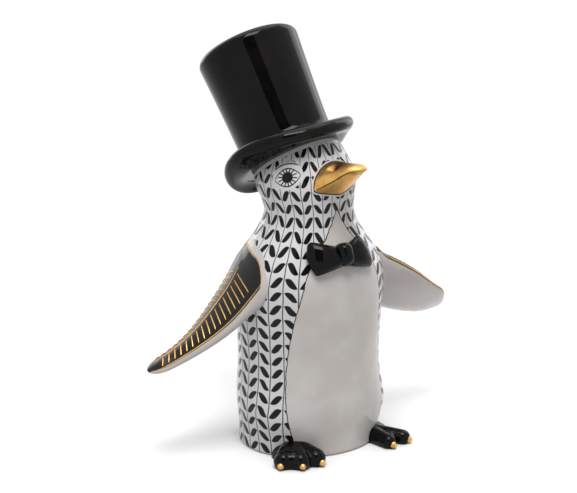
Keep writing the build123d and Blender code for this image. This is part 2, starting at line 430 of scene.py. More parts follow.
def smooth_curve(knots: Sequence[float], values: Sequence[float]) -> Callable[[np.ndarray], np.ndarray]:
    """Makes a natural cubic curve through values.

    Args:
        knots: rising places.
        values: the value at each place.

    Returns:
        A function that reads the curve at any places.
    """
    x, y = np.asarray(knots, float), np.asarray(values, float)
    gap = np.diff(x)
    count = len(x)
    system = np.eye(count)
    target = np.zeros(count)
    for i in range(1, count - 1):
        system[i, i - 1 : i + 2] = gap[i - 1], 2 * (gap[i - 1] + gap[i]), gap[i]
        target[i] = 6 * ((y[i + 1] - y[i]) / gap[i] - (y[i] - y[i - 1]) / gap[i - 1])
    bend = np.linalg.solve(system, target)

    def read(places: np.ndarray) -> np.ndarray:
        """Reads the curve."""
        at = np.clip(np.asarray(places, float), x[0], x[-1])
        i = np.clip(np.searchsorted(x, at) - 1, 0, count - 2)
        low, high, step = at - x[i], x[i + 1] - at, gap[i]
        cubic = (bend[i] * high**3 + bend[i + 1] * low**3) / (6 * step)
        line = (y[i] / step - bend[i] * step / 6) * high + (y[i + 1] / step - bend[i + 1] * step / 6) * low
        return cubic + line

    return read


def rises(value: np.ndarray, low: float, high: float) -> np.ndarray:
    """A soft step from 0 at low to 1 at high."""
    t = np.clip((value - low) / (high - low), 0.0, 1.0)
    return t * t * (3 - 2 * t)


def rounded_end(reach: np.ndarray, start: float) -> np.ndarray:
    """A share that falls from 1 at start to 0 at the end, along a quarter of an oval."""
    return np.sqrt(np.clip(1 - (np.clip(reach - start, 0, 1) / (1 - start)) ** 2, 0, 1))


def powered(value: np.ndarray, power: Union[float, np.ndarray]) -> np.ndarray:
    """A power that keeps the value's sign."""
    return np.sign(value) * np.abs(value) ** power


def unit(ways: np.ndarray) -> np.ndarray:
    """Ways brought to a length of 1."""
    return ways / np.linalg.norm(ways, axis=-1, keepdims=True)


def halved(low: np.ndarray, high: np.ndarray, rule: Callable[[np.ndarray], np.ndarray]) -> np.ndarray:
    """Finds where a rule stops holding.

    Args:
        low: values at which it holds.
        high: values at which it no longer holds.
        rule: tells for values whether it holds.

    Returns:
        The last values at which it holds.
    """
    for _ in range(HALVINGS):
        middle = (low + high) / 2
        holds = rule(middle)
        low, high = np.where(holds, middle, low), np.where(holds, high, middle)
    return low


def line_gap(points: np.ndarray, line: np.ndarray) -> np.ndarray:
    """The distance of points from a line, in mm.

    Args:
        points: the points.
        line: the line's points, with the first one again at the end of a closed line.

    Returns:
        One distance for each point.
    """
    gap = np.full(len(points), np.inf)
    for low, high in zip(line, line[1:]):
        run = high - low
        share = np.clip(((points - low) @ run) / max(run @ run, 1e-9), 0.0, 1.0)
        gap = np.minimum(gap, np.linalg.norm(points - low - share[:, None] * run, axis=1))
    return gap


def points_of(mesh: bpy.types.Mesh) -> np.ndarray:
    """The points of a mesh, in mm."""
    points = np.zeros(len(mesh.vertices) * 3)
    mesh.vertices.foreach_get("co", points)
    return points.reshape(-1, 3) / MM


def mesh_from(name: str, form: bmesh.types.BMesh) -> bpy.types.Mesh:
    """Turns a form into a mesh and frees it.

    Args:
        name: the mesh's name.
        form: the form.

    Returns:
        The mesh.
    """
    mesh = bpy.data.meshes.new(name)
    form.to_mesh(mesh)
    form.free()
    return mesh


def linked(name: str, data: bpy.types.ID) -> bpy.types.Object:
    """Makes an object and links it to the scene.

    Args:
        name: its name.
        data: its mesh, lamp or camera.

    Returns:
        The object.
    """
    made = bpy.data.objects.new(name, data)
    bpy.context.scene.collection.objects.link(made)
    return made


def skin(name: str, rings: np.ndarray, material: bpy.types.Material) -> bpy.types.Object:
    """Makes a closed piece from rings of points, each end closed to a point.

    Args:
        name: the piece's name.
        rings: points in mm, ring by ring, each ring closed.
        material: its finish.

    Returns:
        The object, with its place in its mesh.
    """
    count, around = rings.shape[:2]
    verts = [tuple(point) for point in (rings.reshape(-1, 3) * MM)]
    faces = []
    for i in range(count - 1):
        for j in range(around):
            k = (j + 1) % around
            faces.append((i * around + j, i * around + k, (i + 1) * around + k, (i + 1) * around + j))
    for ring, turn in ((0, -1), (count - 1, 1)):
        verts.append(tuple(rings[ring].mean(axis=0) * MM))
        for j in range(around):
            edge = (ring * around + j, ring * around + (j + 1) % around)
            faces.append((*edge[::turn], len(verts) - 1))
    mesh = bpy.data.meshes.new(name)
    mesh.from_pydata(verts, [], faces)
    return shown(name, mesh, material)


def shown(name: str, mesh: bpy.types.Mesh, material: Optional[bpy.types.Material]) -> bpy.types.Object:
    """Closes doubles, turns faces outwards, smooths all but sharp edges and links the object.

    Args:
        name: the piece's name.
        mesh: its mesh.
        material: its finish, if the mesh has none yet.

    Returns:
        The object.
    """
    form = bmesh.new()
    form.from_mesh(mesh)
    bmesh.ops.remove_doubles(form, verts=form.verts, dist=1e-6)
    bmesh.ops.dissolve_degenerate(form, edges=form.edges, dist=1e-7)
    bmesh.ops.recalc_face_normals(form, faces=form.faces)
    if form.calc_volume(signed=True) < 0:
        bmesh.ops.reverse_faces(form, faces=form.faces)
    for face in form.faces:
        face.smooth = True
    for edge in form.edges:
        edge.smooth = len(edge.link_faces) < 2 or edge.calc_face_angle(0.0) < SHARP_ANGLE
    form.to_mesh(mesh)
    form.free()
    if material is not None:
        mesh.materials.clear()
        mesh.materials.append(material)
    return linked(name, mesh)


def baked(piece: bpy.types.Object) -> bpy.types.Mesh:
    """Applies a piece's modifiers and gives the plain mesh, and takes the piece away.

    Args:
        piece: an object with modifiers.

    Returns:
        The evaluated mesh.
    """
    bpy.context.view_layer.update()
    graph = bpy.context.evaluated_depsgraph_get()
    mesh = bpy.data.meshes.new_from_object(piece.evaluated_get(graph), depsgraph=graph)
    piece.modifiers.clear()
    bpy.data.objects.remove(piece)
    return mesh


def deliver(piece: bpy.types.Object, slot: Slot, *nodes: str) -> None:
    """Hands a finished piece to the frame and reports it.

    Args:
        piece: the object.
        slot: its material slot; not used.
        nodes: the CAD nodes that it stands for.
    """
    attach(piece, "root")
    if nodes:
        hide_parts(*nodes)
    LOG.info("%s: %d faces", piece.name, len(piece.data.polygons))


def store(piece: bpy.types.Object, name: str, rule: Callable[[np.ndarray], np.ndarray]) -> None:
    """Stores a number on each point of a mesh.

    Args:
        piece: the object.
        name: the attribute's name.
        rule: gives the numbers from the points in mm.
    """
    values = np.asarray(rule(points_of(piece.data)), np.float32)
    piece.data.attributes.new(name, "FLOAT", "POINT").data.foreach_set("value", values)


@dataclass(frozen=True)
class BirdForm:
    """The smooth outside of trunk and head: level ovals on one curve, in mm and radians."""

    heights: tuple[float, ...] = (0.0, 3.4, 11.0, 22.0, 37.0, 49.5, 55.4, 59.6, 62.6, 69.0, 76.0, 83.0)
    widths: tuple[float, ...] = (38.0, 37.9, 39.1, 38.5, 40.0, 37.5, 30.4, 25.2, 23.8, 26.2, 22.6, 14.0)
    depths: tuple[float, ...] = (33.8, 33.7, 34.7, 34.2, 35.4, 33.4, 27.5, 23.2, 22.0, 25.8, 22.4, 13.8)
    backs: tuple[float, ...] = (0.0, 0.0, 0.0, 0.0, 0.0, 0.0, 0.0, 0.0, 0.0, 1.9, 2.7, 3.4)
    neck: float = 62.6
    base_round: float = 0.8
    thigh_angle: float = math.radians(60.0)
    thigh_height: float = 10.0
    thigh_bulge: float = 1.1
    thigh_spread: float = 0.42
    thigh_tall: float = 6.0

    def half_sizes(self, z: np.ndarray) -> tuple[np.ndarray, np.ndarray, np.ndarray]:
        """The sizes of the ovals.

        Args:
            z: heights in mm.

        Returns:
            Half widths, half depths and the middles' places back, in mm.
        """
        half_width = smooth_curve(self.heights, self.widths)(z) / 2
        half_depth = smooth_curve(self.heights, self.depths)(z) / 2
        return half_width, half_depth, smooth_curve(self.heights, self.backs)(z)

    def point(self, angle: np.ndarray, z: np.ndarray) -> np.ndarray:
        """Points of the outside.

        Args:
            angle: turns from the front towards the bird's left, in radians.
            z: heights in mm.

        Returns:
            Points in mm, the last axis X, Y, Z.
        """
        half_width, half_depth, back = self.half_sizes(z)
        low = np.clip(self.base_round - z, 0.0, self.base_round) / self.base_round
        draw_in = self.base_round * (1 - np.sqrt(np.clip(1 - low**2, 0.0, 1.0)))
        aside = (np.abs(angle) - self.thigh_angle) / self.thigh_spread
        above = (z - self.thigh_height) / self.thigh_tall
        bulge = self.thigh_bulge * np.exp(-(aside**2) - above**2)
        grow = bulge - draw_in
        return np.stack(
            [(half_width + grow) * np.sin(angle), back - (half_depth + grow) * np.cos(angle), z], axis=-1
        )

    def inside(self, points: np.ndarray) -> np.ndarray:
        """How far points lie inside the outside, about in mm; negative is outside.

        Args:
            points: points in mm.

        Returns:
            Distances in mm.
        """
        half_width, half_depth, back = self.half_sizes(points[..., 2])
        x, y = points[..., 0], points[..., 1] - back
        share = np.sqrt((x / half_width) ** 2 + (y / half_depth) ** 2)
        return (1 - share) * np.sqrt(half_width * half_depth)

    def angle_of(self, points: np.ndarray) -> np.ndarray:
        """The turn of points from the front, in radians, even along an oval."""
        half_width, half_depth, back = self.half_sizes(points[..., 2])
        return np.arctan2(points[..., 0] / half_width, -(points[..., 1] - back) / half_depth)


FORM = BirdForm()


@dataclass(frozen=True)
class FeatherPaint:
    """Rows of leaning brush strokes on stems, a plain bib with a thin outline, and eyes."""

    stems: int = 30
    pitch: float = 3.5
    lean: float = 0.75
    stroke_half_length: float = 0.45
    stroke_half_width: float = 0.33
    stem_half_width: float = 0.042
    outline: float = 0.17
    wobble: float = 0.32
    hat_margin: float = 0.9
    bill_margin: float = 0.5
    bill_outline: float = 0.3
    edge_wobble: float = 0.7
    bib_soft: float = 0.05
    black: Colour = (0.006, 0.006, 0.0065)
    white: Colour = (0.715, 0.715, 0.725)
    porcelain: Porcelain = Porcelain()

    def strokes(self, paint: Paint) -> Wire:
        """The mask of the strokes and their stems.

        Args:
            paint: the material in the making.

        Returns:
            1 on a stroke and 0 on the ground.
        """
        sides = paint.node("ShaderNodeUVMap", {"uv_map": "paint"})
        parts = paint.node("ShaderNodeSeparateXYZ", sockets={0: Wire(paint, sides.outputs[0])})
        hand = (paint.noise(5.0, 1.0) - 0.5) * self.wobble
        column = Wire(paint, parts.outputs[0]) + hand * 0.45
        row = Wire(paint, parts.outputs[1]) + hand
        way = 1.0 - 2.0 * (column.math("FLOOR") % 2.0)
        from_middle = column % 1.0 - 0.5
        beside = abs((row + way * from_middle * self.lean) % 1.0 - 0.5)
        share = from_middle / self.stroke_half_length
        width = (1.0 - share * share) * self.stroke_half_width
        stroke = (width - beside).step(0.05)
        stem = (self.stem_half_width - (0.5 - abs(from_middle))).step(0.016)
        return stroke.atleast(stem)

    def eye(self, paint: Paint, eye: "Eye") -> tuple[Wire, Wire]:
        """One painted eye.

        Args:
            paint: the material in the making.
            eye: where it lies.

        Returns:
            Its black lines, and the round ground that it is painted on.
        """
        x = paint.along(eye.forward, eye.middle)
        y = paint.along(eye.upward, eye.middle)
        near = paint.along(eye.outward, eye.middle).math("GREATER_THAN", -eye.lid_reach)
        radius = (x * x + y * y).math("SQRT")
        turn = y.math("ARCTAN2", x)
        pupil = (eye.pupil - radius).step(0.14)
        aside = x / eye.lid_reach
        lid_y = eye.lid_height * (1.0 - aside * aside).atleast(0.0)
        within = lid_y - abs(y)
        lids = (eye.line - abs(within)).step(0.08) * (eye.lid_reach - abs(x)).step(0.2)
        ray = abs((turn * (eye.rays / TURN)) % 1.0 - 0.5) * (TURN / eye.rays)
        rays = (eye.line * 0.9 - ray * radius).step(0.07) * within.math("GREATER_THAN", 0.0)
        rays = rays * (eye.ray_reach - radius).step(0.1)
        brow_y = eye.brow_height - x * x * eye.brow_bend
        brow = (eye.line - abs(y - brow_y)).step(0.08) * (eye.lid_reach - abs(x)).step(0.8)
        lines = pupil.atleast(rays).atleast(lids).atleast(brow) * near
        above = y - eye.ground_rise
        reach = (x * x * eye.ground_squash + above * above).math("SQRT")
        ground = (eye.ground - reach).step(0.12) * near
        return lines, ground

    def material(self, name: str, eyes: Sequence["Eye"] = (), bill_line: bool = False) -> bpy.types.Material:
        """Makes the painted porcelain.

        Args:
            name: the material's name.
            eyes: the eyes on this piece.
            bill_line: whether the bill's root is outlined.

        Returns:
            The material.
        """
        paint = Paint(name)
        bib = paint.mark("bib") + (paint.noise(2.4, 1.0) - 0.5) * self.edge_wobble
        outline = (self.outline - abs(bib)).step(0.09)
        on_bib = bib.step(self.bib_soft)
        black = self.strokes(paint) * (1.0 - on_bib)
        for eye in eyes:
            lines, ground = self.eye(paint, eye)
            black = (black * (1.0 - ground)).atleast(lines)
        if bill_line:
            under_hat = paint.along(tuple(-POSE.hat_axis), tuple(POSE.hat_middle))
            black = black * (under_hat - self.hat_margin).step(0.2)
            gap = paint.mark("bill_gap")
            black = black * (gap - self.bill_margin).step(0.2)
            black = black.atleast((self.bill_outline - gap).step(0.1))
        black = black.atleast(outline)
        plain = self.porcelain.ground(paint)
        ground = paint.mix_colours(on_bib, self.white, plain)
        return self.porcelain.finish(paint, ground, black, self.black)


@dataclass(frozen=True)
class Eye:
    """Where an eye lies on the head and how it is drawn, in mm."""

    middle: tuple[float, float, float]
    forward: tuple[float, float, float]
    upward: tuple[float, float, float]
    outward: tuple[float, float, float]
    pupil: float = 1.5
    rays: int = 14
    ray_reach: float = 2.6
    line: float = 0.21
    lid_reach: float = 3.5
    lid_height: float = 2.3
    brow_height: float = 3.5
    brow_bend: float = 0.085
    ground: float = 3.7
    ground_rise: float = 0.5
    ground_squash: float = 0.82


@dataclass(frozen=True)
class HeadPose:
    """How the head is turned and the hat is tipped, in mm and degrees."""

    turn: float = 11.0
    hat_lean: float = 34.0
    middle: tuple[float, float, float] = (0.0, 1.9, 69.0)
    seat_rise: float = 6.4
    seat_shift: float = 0.9

    @property
    def side(self) -> np.ndarray:
        """The way to the head's own left."""
        turn = math.radians(self.turn)
        return np.array([math.cos(turn), math.sin(turn), 0.0])

    @property
    def front(self) -> np.ndarray:
        """The way that the face looks."""
        turn = math.radians(self.turn)
        return np.array([math.sin(turn), -math.cos(turn), 0.0])

    @property
    def hat_axis(self) -> np.ndarray:
        """The way up the tipped hat."""
        lean = math.radians(self.hat_lean)
        return -self.front * math.sin(lean) + np.array([0.0, 0.0, math.cos(lean)])

    @property
    def hat_middle(self) -> np.ndarray:
        """The middle of the hat's seat."""
        return np.array(self.middle) + self.hat_axis * self.seat_rise - self.side * self.seat_shift

    def hat_matrix(self) -> Matrix:
        """Takes hat mm, with Z up the hat and -Y to the front, to the frame's metres."""
        back = np.cross(self.hat_axis, self.side)
        columns = np.stack([self.side, back, self.hat_axis], axis=1) * MM
        matrix = Matrix(columns.tolist()).to_4x4()
        matrix.translation = Vector((self.hat_middle * MM).tolist())
        return matrix


POSE = HeadPose()


def unroll(piece: bpy.types.Object, paint: FeatherPaint) -> None:
    """Gives a piece of the bird the map that its strokes follow: stems round it, rows up it.

    Args:
        piece: the object.
        paint: the strokes.
    """
    mesh = piece.data
    points = points_of(mesh)
    angle, height = FORM.angle_of(points), points[:, 2]
    layer = mesh.uv_layers.new(name="paint").uv
    for face in mesh.polygons:
        turns = [angle[mesh.loops[i].vertex_index] for i in face.loop_indices]
        wraps = max(turns) - min(turns) > math.pi
        for i, turn in zip(face.loop_indices, turns):
            whole = turn + TURN if wraps and turn < 0 else turn
            rows = height[mesh.loops[i].vertex_index] / paint.pitch
            layer[i].vector = (whole / TURN * paint.stems, rows)


@dataclass(frozen=True)
class Trunk:
    """The hollow body with its plain bib and a firing vent below."""

    around: int = 240
    rings: int = 150
    bib_heights: tuple[float, ...] = (0.0, 5.0, 15.0, 33.0, 45.0, 52.0, 57.0, 61.0)
    bib_angles: tuple[float, ...] = (40.5, 43.0, 47.5, 42.8, 35.5, 29.5, 18.0, 7.5)
    bib_turns: tuple[float, ...] = (2.5, 2.0, 1.5, 0.7, 2.5, 4.0, 6.0, 8.0)
    bib_top: float = 64.2
    vent_radius: float = 3.0
    vent_back: float = 7.0
    vent_depth: float = 3.6

    def bib_gap(self, points: np.ndarray) -> np.ndarray:
        """How far points lie inside the bib's edge, in mm; negative is outside.

        Args:
            points: points of the outside, in mm.

        Returns:
            Distances in mm.
        """
        heights = np.linspace(self.bib_heights[0] - 4, self.bib_heights[-1], 160)
        angles = np.radians(smooth_curve(self.bib_heights, self.bib_angles)(heights))
        heights, angles = np.append(heights, self.bib_top), np.append(angles, 0.0)
        radius = FORM.half_sizes(heights)[0]
        edge = np.stack([angles * radius, heights], axis=1)
        middle = np.radians(smooth_curve(self.bib_heights, self.bib_turns)(points[:, 2]))
        turn = np.abs(FORM.angle_of(points) - middle)
        spread = turn * FORM.half_sizes(points[:, 2])[0]
        flat = np.stack([spread, points[:, 2]], axis=1)
        gap = line_gap(flat, edge)
        limit = np.interp(points[:, 2], heights, angles, right=-1.0)
        return np.where(turn < limit, gap, -gap)

    def build(self, paint: FeatherPaint) -> None:
        """Builds and dresses the body.

        Args:
            paint: the strokes on it.
        """
        low = FORM.base_round * (1 - np.cos(np.linspace(0, math.pi / 2, 14)))
        heights = np.concatenate([low[:-1], np.linspace(FORM.base_round, FORM.neck, self.rings)])
        angle = np.linspace(-math.pi, math.pi, self.around, endpoint=False)
        rings = FORM.point(*np.broadcast_arrays(angle[None, :], heights[:, None]))
        piece = skin("body", rings, paint.material("painted_body"))
        piece = self.vented(piece)
        unroll(piece, paint)
        store(piece, "bib", self.bib_gap)
        deliver(piece, Slot.WHITE, "body_shell")

    def vented(self, piece: bpy.types.Object) -> bpy.types.Object:
        """Cuts the firing vent into the base.

        Args:
            piece: the closed body.

        Returns:
            The body with its vent.
        """
        form = bmesh.new()
        place = Matrix.Translation((0.0, self.vent_back * MM, 0.0))
        radius, depth = self.vent_radius * MM, 2 * self.vent_depth * MM
        bmesh.ops.create_cone(
            form, cap_ends=True, segments=48, radius1=radius, radius2=radius, depth=depth, matrix=place
        )
        drill = linked("drill", mesh_from("drill", form))
        cut = piece.modifiers.new("vent", "BOOLEAN")
        cut.object = drill
        cut.operation = "DIFFERENCE"
        cut.solver = "EXACT"
        name, material = piece.name, piece.data.materials[0]
        mesh = baked(piece)
        bpy.data.objects.remove(drill)
        return shown(name, mesh, material)


@dataclass(frozen=True)
class Bill:
    """The gilded bill in two halves, parted along a climbing mouth line, in mm."""

    seat: float = 7.8
    length: float = 13.9
    width: float = 14.2
    tip_width: float = 2.4
    mouth_low: float = 2.9
    mouth_climb: float = 9.6
    reaches: tuple[float, ...] = (0.0, 0.22, 0.594, 0.844, 1.0)
    shares: tuple[float, ...] = (1.06, 0.95, 0.54, 0.27, 0.0)
    climbs: tuple[float, ...] = (0.1, 0.35, 0.72, 0.96, 1.0)
    ridges: tuple[float, ...] = (7.4, 6.7, 3.6, 1.5, 0.8)
    keels: tuple[float, ...] = (3.7, 3.3, 2.0, 1.15, 0.8)
    keel_edge: float = 1.45
    tip_start: float = 0.91
    lip: float = 0.16
    nostril_reach: float = 0.42
    nostril_turn: float = 60.0
    nostril_depth: float = 1.4
    nostril_width: float = 0.26
    nostril_length: float = 0.1
    # Strength of the painted dark reflection along the ridge of the bill.
    ridge_painted_reflection: float = 0.8
    mouth_width: float = 0.32
    rings: int = 90
    around: int = 48

    def sizes(self, reach: np.ndarray) -> dict[str, np.ndarray]:
        """The bill's line and section sizes at shares of its length.

        Args:
            reach: shares of the length.

        Returns:
            forward, climb, half width, above and below, in mm.
        """
        share = smooth_curve(self.reaches, self.shares)(reach)
        close = rounded_end(reach, self.tip_start)
        return {
            "forward": self.seat + reach * self.length,
            "climb": smooth_curve(self.reaches, self.climbs)(reach) * self.mouth_climb - self.mouth_low,
            "half_width": (self.tip_width + (self.width - self.tip_width) * share) / 2 * close,
            "above": smooth_curve(self.reaches, self.ridges)(reach) * close,
            "below": smooth_curve(self.reaches, self.keels)(reach) * close,
        }

    def point(self, reach: np.ndarray, turn: np.ndarray) -> np.ndarray:
        """Points of the bill's outside.

        Args:
            reach: shares of the length.
            turn: turns round the section, 0 at the head's left, in radians.

        Returns:
            Points in mm.
        """
        size = self.sizes(reach)
        upper = np.sin(turn) >= 0
        edge = np.where(upper, 1.0, self.keel_edge)
        tall = np.where(upper, size["above"], -size["below"])
        across = size["half_width"] * powered(np.cos(turn), edge)
        return self.placed(size, across, tall * np.abs(np.sin(turn)) ** edge)

    @staticmethod
    def placed(size: dict[str, np.ndarray], across: np.ndarray, up: np.ndarray) -> np.ndarray:
        """Takes points of sections to the frame.

        Args:
            size: the sizes at the points.
            across: ways to the head's left, in mm.
            up: ways up from the mouth line, in mm.

        Returns:
            Points in mm.
        """
        forward, height = size["forward"], size["climb"] + up
        level = forward[..., None] * POSE.front + across[..., None] * POSE.side
        return np.array(POSE.middle) + level + height[..., None] * UP

    def root_curve(self, count: int = 160) -> np.ndarray:
        """Where the bill comes out of the face.

        Args:
            count: how many points.

        Returns:
            A closed line of points in mm.
        """
        turn = np.linspace(0, TURN, count, endpoint=False)
        hidden = halved(
            np.zeros(count), np.full(count, 0.9), lambda reach: FORM.inside(self.point(reach, turn)) > 0
        )
        root = self.point(hidden, turn)
        return np.concatenate([root, root[:1]])

    def mouth_line(self, side: Side) -> np.ndarray:
        """The mouth's edge on one side, from its corner to the tip.

        Args:
            side: which side.

        Returns:
            Points in mm.
        """
        reach = np.linspace(0.1, 0.985, 60)
        turn = np.full_like(reach, 0.0 if side is Side.LEFT else math.pi)
        points = self.point(reach, turn)
        return points[FORM.inside(points) < 0.25]

    def half(self, upper: bool) -> np.ndarray:
        """Rings of one half, closed along the mouth with a rounded lip.

        Args:
            upper: the upper half, or else the lower.

        Returns:
            Rings of points in mm.
        """
        sign = 1.0 if upper else -1.0
        reach = 1 - (1 - np.linspace(0, 1, self.rings)) ** 1.5
        reach = np.clip(reach, 0.0, 0.9995)[:, None]
        turn = np.linspace(0, math.pi, self.around)[None, :]
        size = self.sizes(reach)
        tall = size["above"] if upper else size["below"]
        lip = np.minimum(self.lip, tall * 0.4)
        soft = rises(np.sin(turn), 0.0, 0.25)
        edge = 1.0 if upper else self.keel_edge
        up = sign * (lip * (1 - soft) * 0.5 + tall * np.abs(np.sin(turn)) ** edge)
        across = size["half_width"] * powered(np.cos(turn), edge)
        if upper:
            up = up - self.nostril_depth * self.dent(reach, turn)
        flat = np.linspace(-1, 1, self.around // 2 + 2)[1:-1][None, :]
        inner_across = size["half_width"] * flat * 0.97
        inner_up = sign * lip * 0.3 * np.ones_like(inner_across)
        across = np.concatenate([across, inner_across], axis=1)
        up = np.concatenate([up, inner_up], axis=1)
        wide = {key: np.broadcast_to(value, up.shape) for key, value in size.items()}
        return self.placed(wide, across, up)

    def dent(self, reach: np.ndarray, turn: np.ndarray) -> np.ndarray:
        """How deep points of the upper half lie in a nostril.

        Args:
            reach: shares of the length.
            turn: turns round the section, in radians.

        Returns:
            0 outside to 1 in the middle of a nostril.
        """
        deep = np.zeros(np.broadcast_shapes(reach.shape, turn.shape))
        for nostril in (self.nostril_turn, 180 - self.nostril_turn):
            aside = (turn - math.radians(nostril)) / self.nostril_width
            along = (reach - self.nostril_reach) / self.nostril_length
            deep = deep + np.exp(-(along**2) - aside**2)
        return deep

    def painted_shade(self, points: np.ndarray) -> np.ndarray:
        """How much painted shade the gilding gets at points of the bill: painted shade in the nostrils and a
        painted dark reflection along the ridge.

        Args:
            points: points in mm.

        Returns:
            0 for bright to 1 for dark.
        """
        away = points - np.array(POSE.middle)
        reach = np.clip((away @ POSE.front - self.seat) / self.length, 0.0, 1.0)
        size = self.sizes(reach)
        height = (away[:, 2] - size["climb"]) / np.maximum(size["above"], 0.2)
        turn = np.arctan2(height, (away @ POSE.side) / np.maximum(size["half_width"], 0.2))
        ridge = rises(height, 0.55, 1.0) * rises(-reach, -0.9, -0.5)
        return np.clip(ridge * self.ridge_painted_reflection + self.dent(reach, turn), 0.0, 1.0)

    def build(self, gold: bpy.types.Material, black: bpy.types.Material) -> None:
        """Builds both halves and the painted mouth line.

        Args:
            gold: the gilding.
            black: the line's paint.
        """
        for upper, name in ((True, "upper"), (False, "lower")):
            piece = skin(f"bill_{name}", self.half(upper), gold)
            # Stores the painted shade: darker gilding in the nostril dents and a painted dark reflection
            # along the ridge.
            store(piece, "painted_shade", self.painted_shade)
            deliver(piece, Slot.GOLD, f"beak_{name}")
        lines = [self.mouth_line(side) for side in Side]
        deliver(BrushLines(self.mouth_width).draw("mouth_line", lines, black), Slot.BLACK)


@dataclass(frozen=True)
class Head:
    """The hollow head under the hat, with painted eyes."""

    around: int = 240
    rings: int = 90
    sink: float = 0.5
    eye_angle: float = 61.8
    eye_height: float = 72.8
    eye_tilt: float = 14.0

    def eye(self, side: Side) -> Eye:
        """Finds an eye's place on the head.

        Args:
            side: which eye.

        Returns:
            The eye.
        """
        turn = math.radians(POSE.turn + side.value * self.eye_angle)
        turns = turn + np.array([0.0, -0.02, 0.0]) * side.value
        here, ahead, above = FORM.point(turns, self.eye_height + np.array([0.0, 0.0, 0.2]))
        forward, slope, out = (unit(way) for way in (ahead - here, above - here, here - POSE.middle))
        tilt = math.radians(self.eye_tilt)
        fore = forward * math.cos(tilt) + slope * math.sin(tilt)
        up = slope * math.cos(tilt) - forward * math.sin(tilt)
        return Eye(*(tuple(row) for row in (here, fore, up, out)))

    def build(self, paint: FeatherPaint, bill: Bill) -> None:
        """Builds and dresses the head.

        Args:
            paint: the strokes on it.
            bill: the bill that comes out of it.
        """
        angle = np.linspace(-math.pi, math.pi, self.around, endpoint=False)
        top = halved(
            np.full(self.around, FORM.neck),
            np.full(self.around, FORM.heights[-1]),
            lambda z: (FORM.point(angle, z) - POSE.hat_middle) @ POSE.hat_axis <= self.sink,
        )
        share = np.linspace(0, 1, self.rings)[:, None]
        heights = FORM.neck + (top[None, :] - FORM.neck) * share
        rings = FORM.point(np.broadcast_to(angle, heights.shape), heights)
        material = paint.material("painted_head", [self.eye(side) for side in Side], bill_line=True)
        piece = skin("head", rings, material)
        unroll(piece, paint)
        root = bill.root_curve()
        store(piece, "bill_gap", lambda points: line_gap(points, root))
        store(piece, "bib", Trunk().bib_gap)
        deliver(piece, Slot.WHITE, "head_shell")


class NodeRecipe(NodeBench):
    """A Geometry Nodes tree with named inputs, run once and baked to a plain mesh."""

    def __init__(self, name: str, inputs: Sequence[tuple[str, str]]) -> None:
        """Starts the tree.

        Args:
            name: its name.
            inputs: labels and socket types of its sizes.
        """
        tree = bpy.data.node_groups.new(name, "GeometryNodeTree")
        tree.interface.new_socket("Geometry", in_out="INPUT", socket_type="NodeSocketGeometry")
        for label, kind in (*inputs, ("Material", "NodeSocketMaterial")):
            tree.interface.new_socket(label, in_out="INPUT", socket_type=kind)
        tree.interface.new_socket("Geometry", in_out="OUTPUT", socket_type="NodeSocketGeometry")
        super().__init__(tree)
        self.entry = self.node("NodeGroupInput")

    def given(self, label: str) -> Wire:
        """One of the tree's inputs."""
        return Wire(self, self.entry.outputs[label])

    def vector(self, x: Number, y: Number, z: Number) -> Wire:
        """A vector from three numbers."""
        return self.out("ShaderNodeCombineXYZ", sockets={0: x, 1: y, 2: z})

    def end(self, geometry: Wire) -> None:
        """Realizes, dresses and puts out the geometry.

        Args:
            geometry: what the tree has made.
        """
        real = self.out("GeometryNodeRealizeInstances", sockets={0: geometry})
        smooth = self.out("GeometryNodeSetShadeSmooth", sockets={0: real})
        dressed = self.out(
            "GeometryNodeSetMaterial", sockets={"Geometry": smooth, "Material": self.given("Material")}
        )
        self.node("NodeGroupOutput", sockets={0: dressed})

    def run(self, mesh: bpy.types.Mesh, values: Mapping[str, Any]) -> bpy.types.Mesh:
        """Runs the tree on a mesh.

        Args:
            mesh: what goes in.
            values: the inputs by label.

        Returns:
            The baked mesh.
        """
        piece = linked("in_the_making", mesh)
        modifier = piece.modifiers.new("recipe", "NODES")
        modifier.node_group = self.tree
        for item in self.tree.interface.items_tree:
            if item.in_out == "INPUT" and item.name in values:
                modifier[item.identifier] = values[item.name]
        return baked(piece)


def wire_mesh(lines: Sequence[np.ndarray]) -> bpy.types.Mesh:
    """Makes a mesh of open lines, with no faces.

    Args:
        lines: points of each line.

    Returns:
        The mesh.
    """
    verts, edges = [], []
    for line in lines:
        edges += [(len(verts) + i, len(verts) + i + 1) for i in range(len(line) - 1)]
        verts += [tuple(point) for point in line]
    mesh = bpy.data.meshes.new("lines")
    mesh.from_pydata(verts, edges, [])
    return mesh


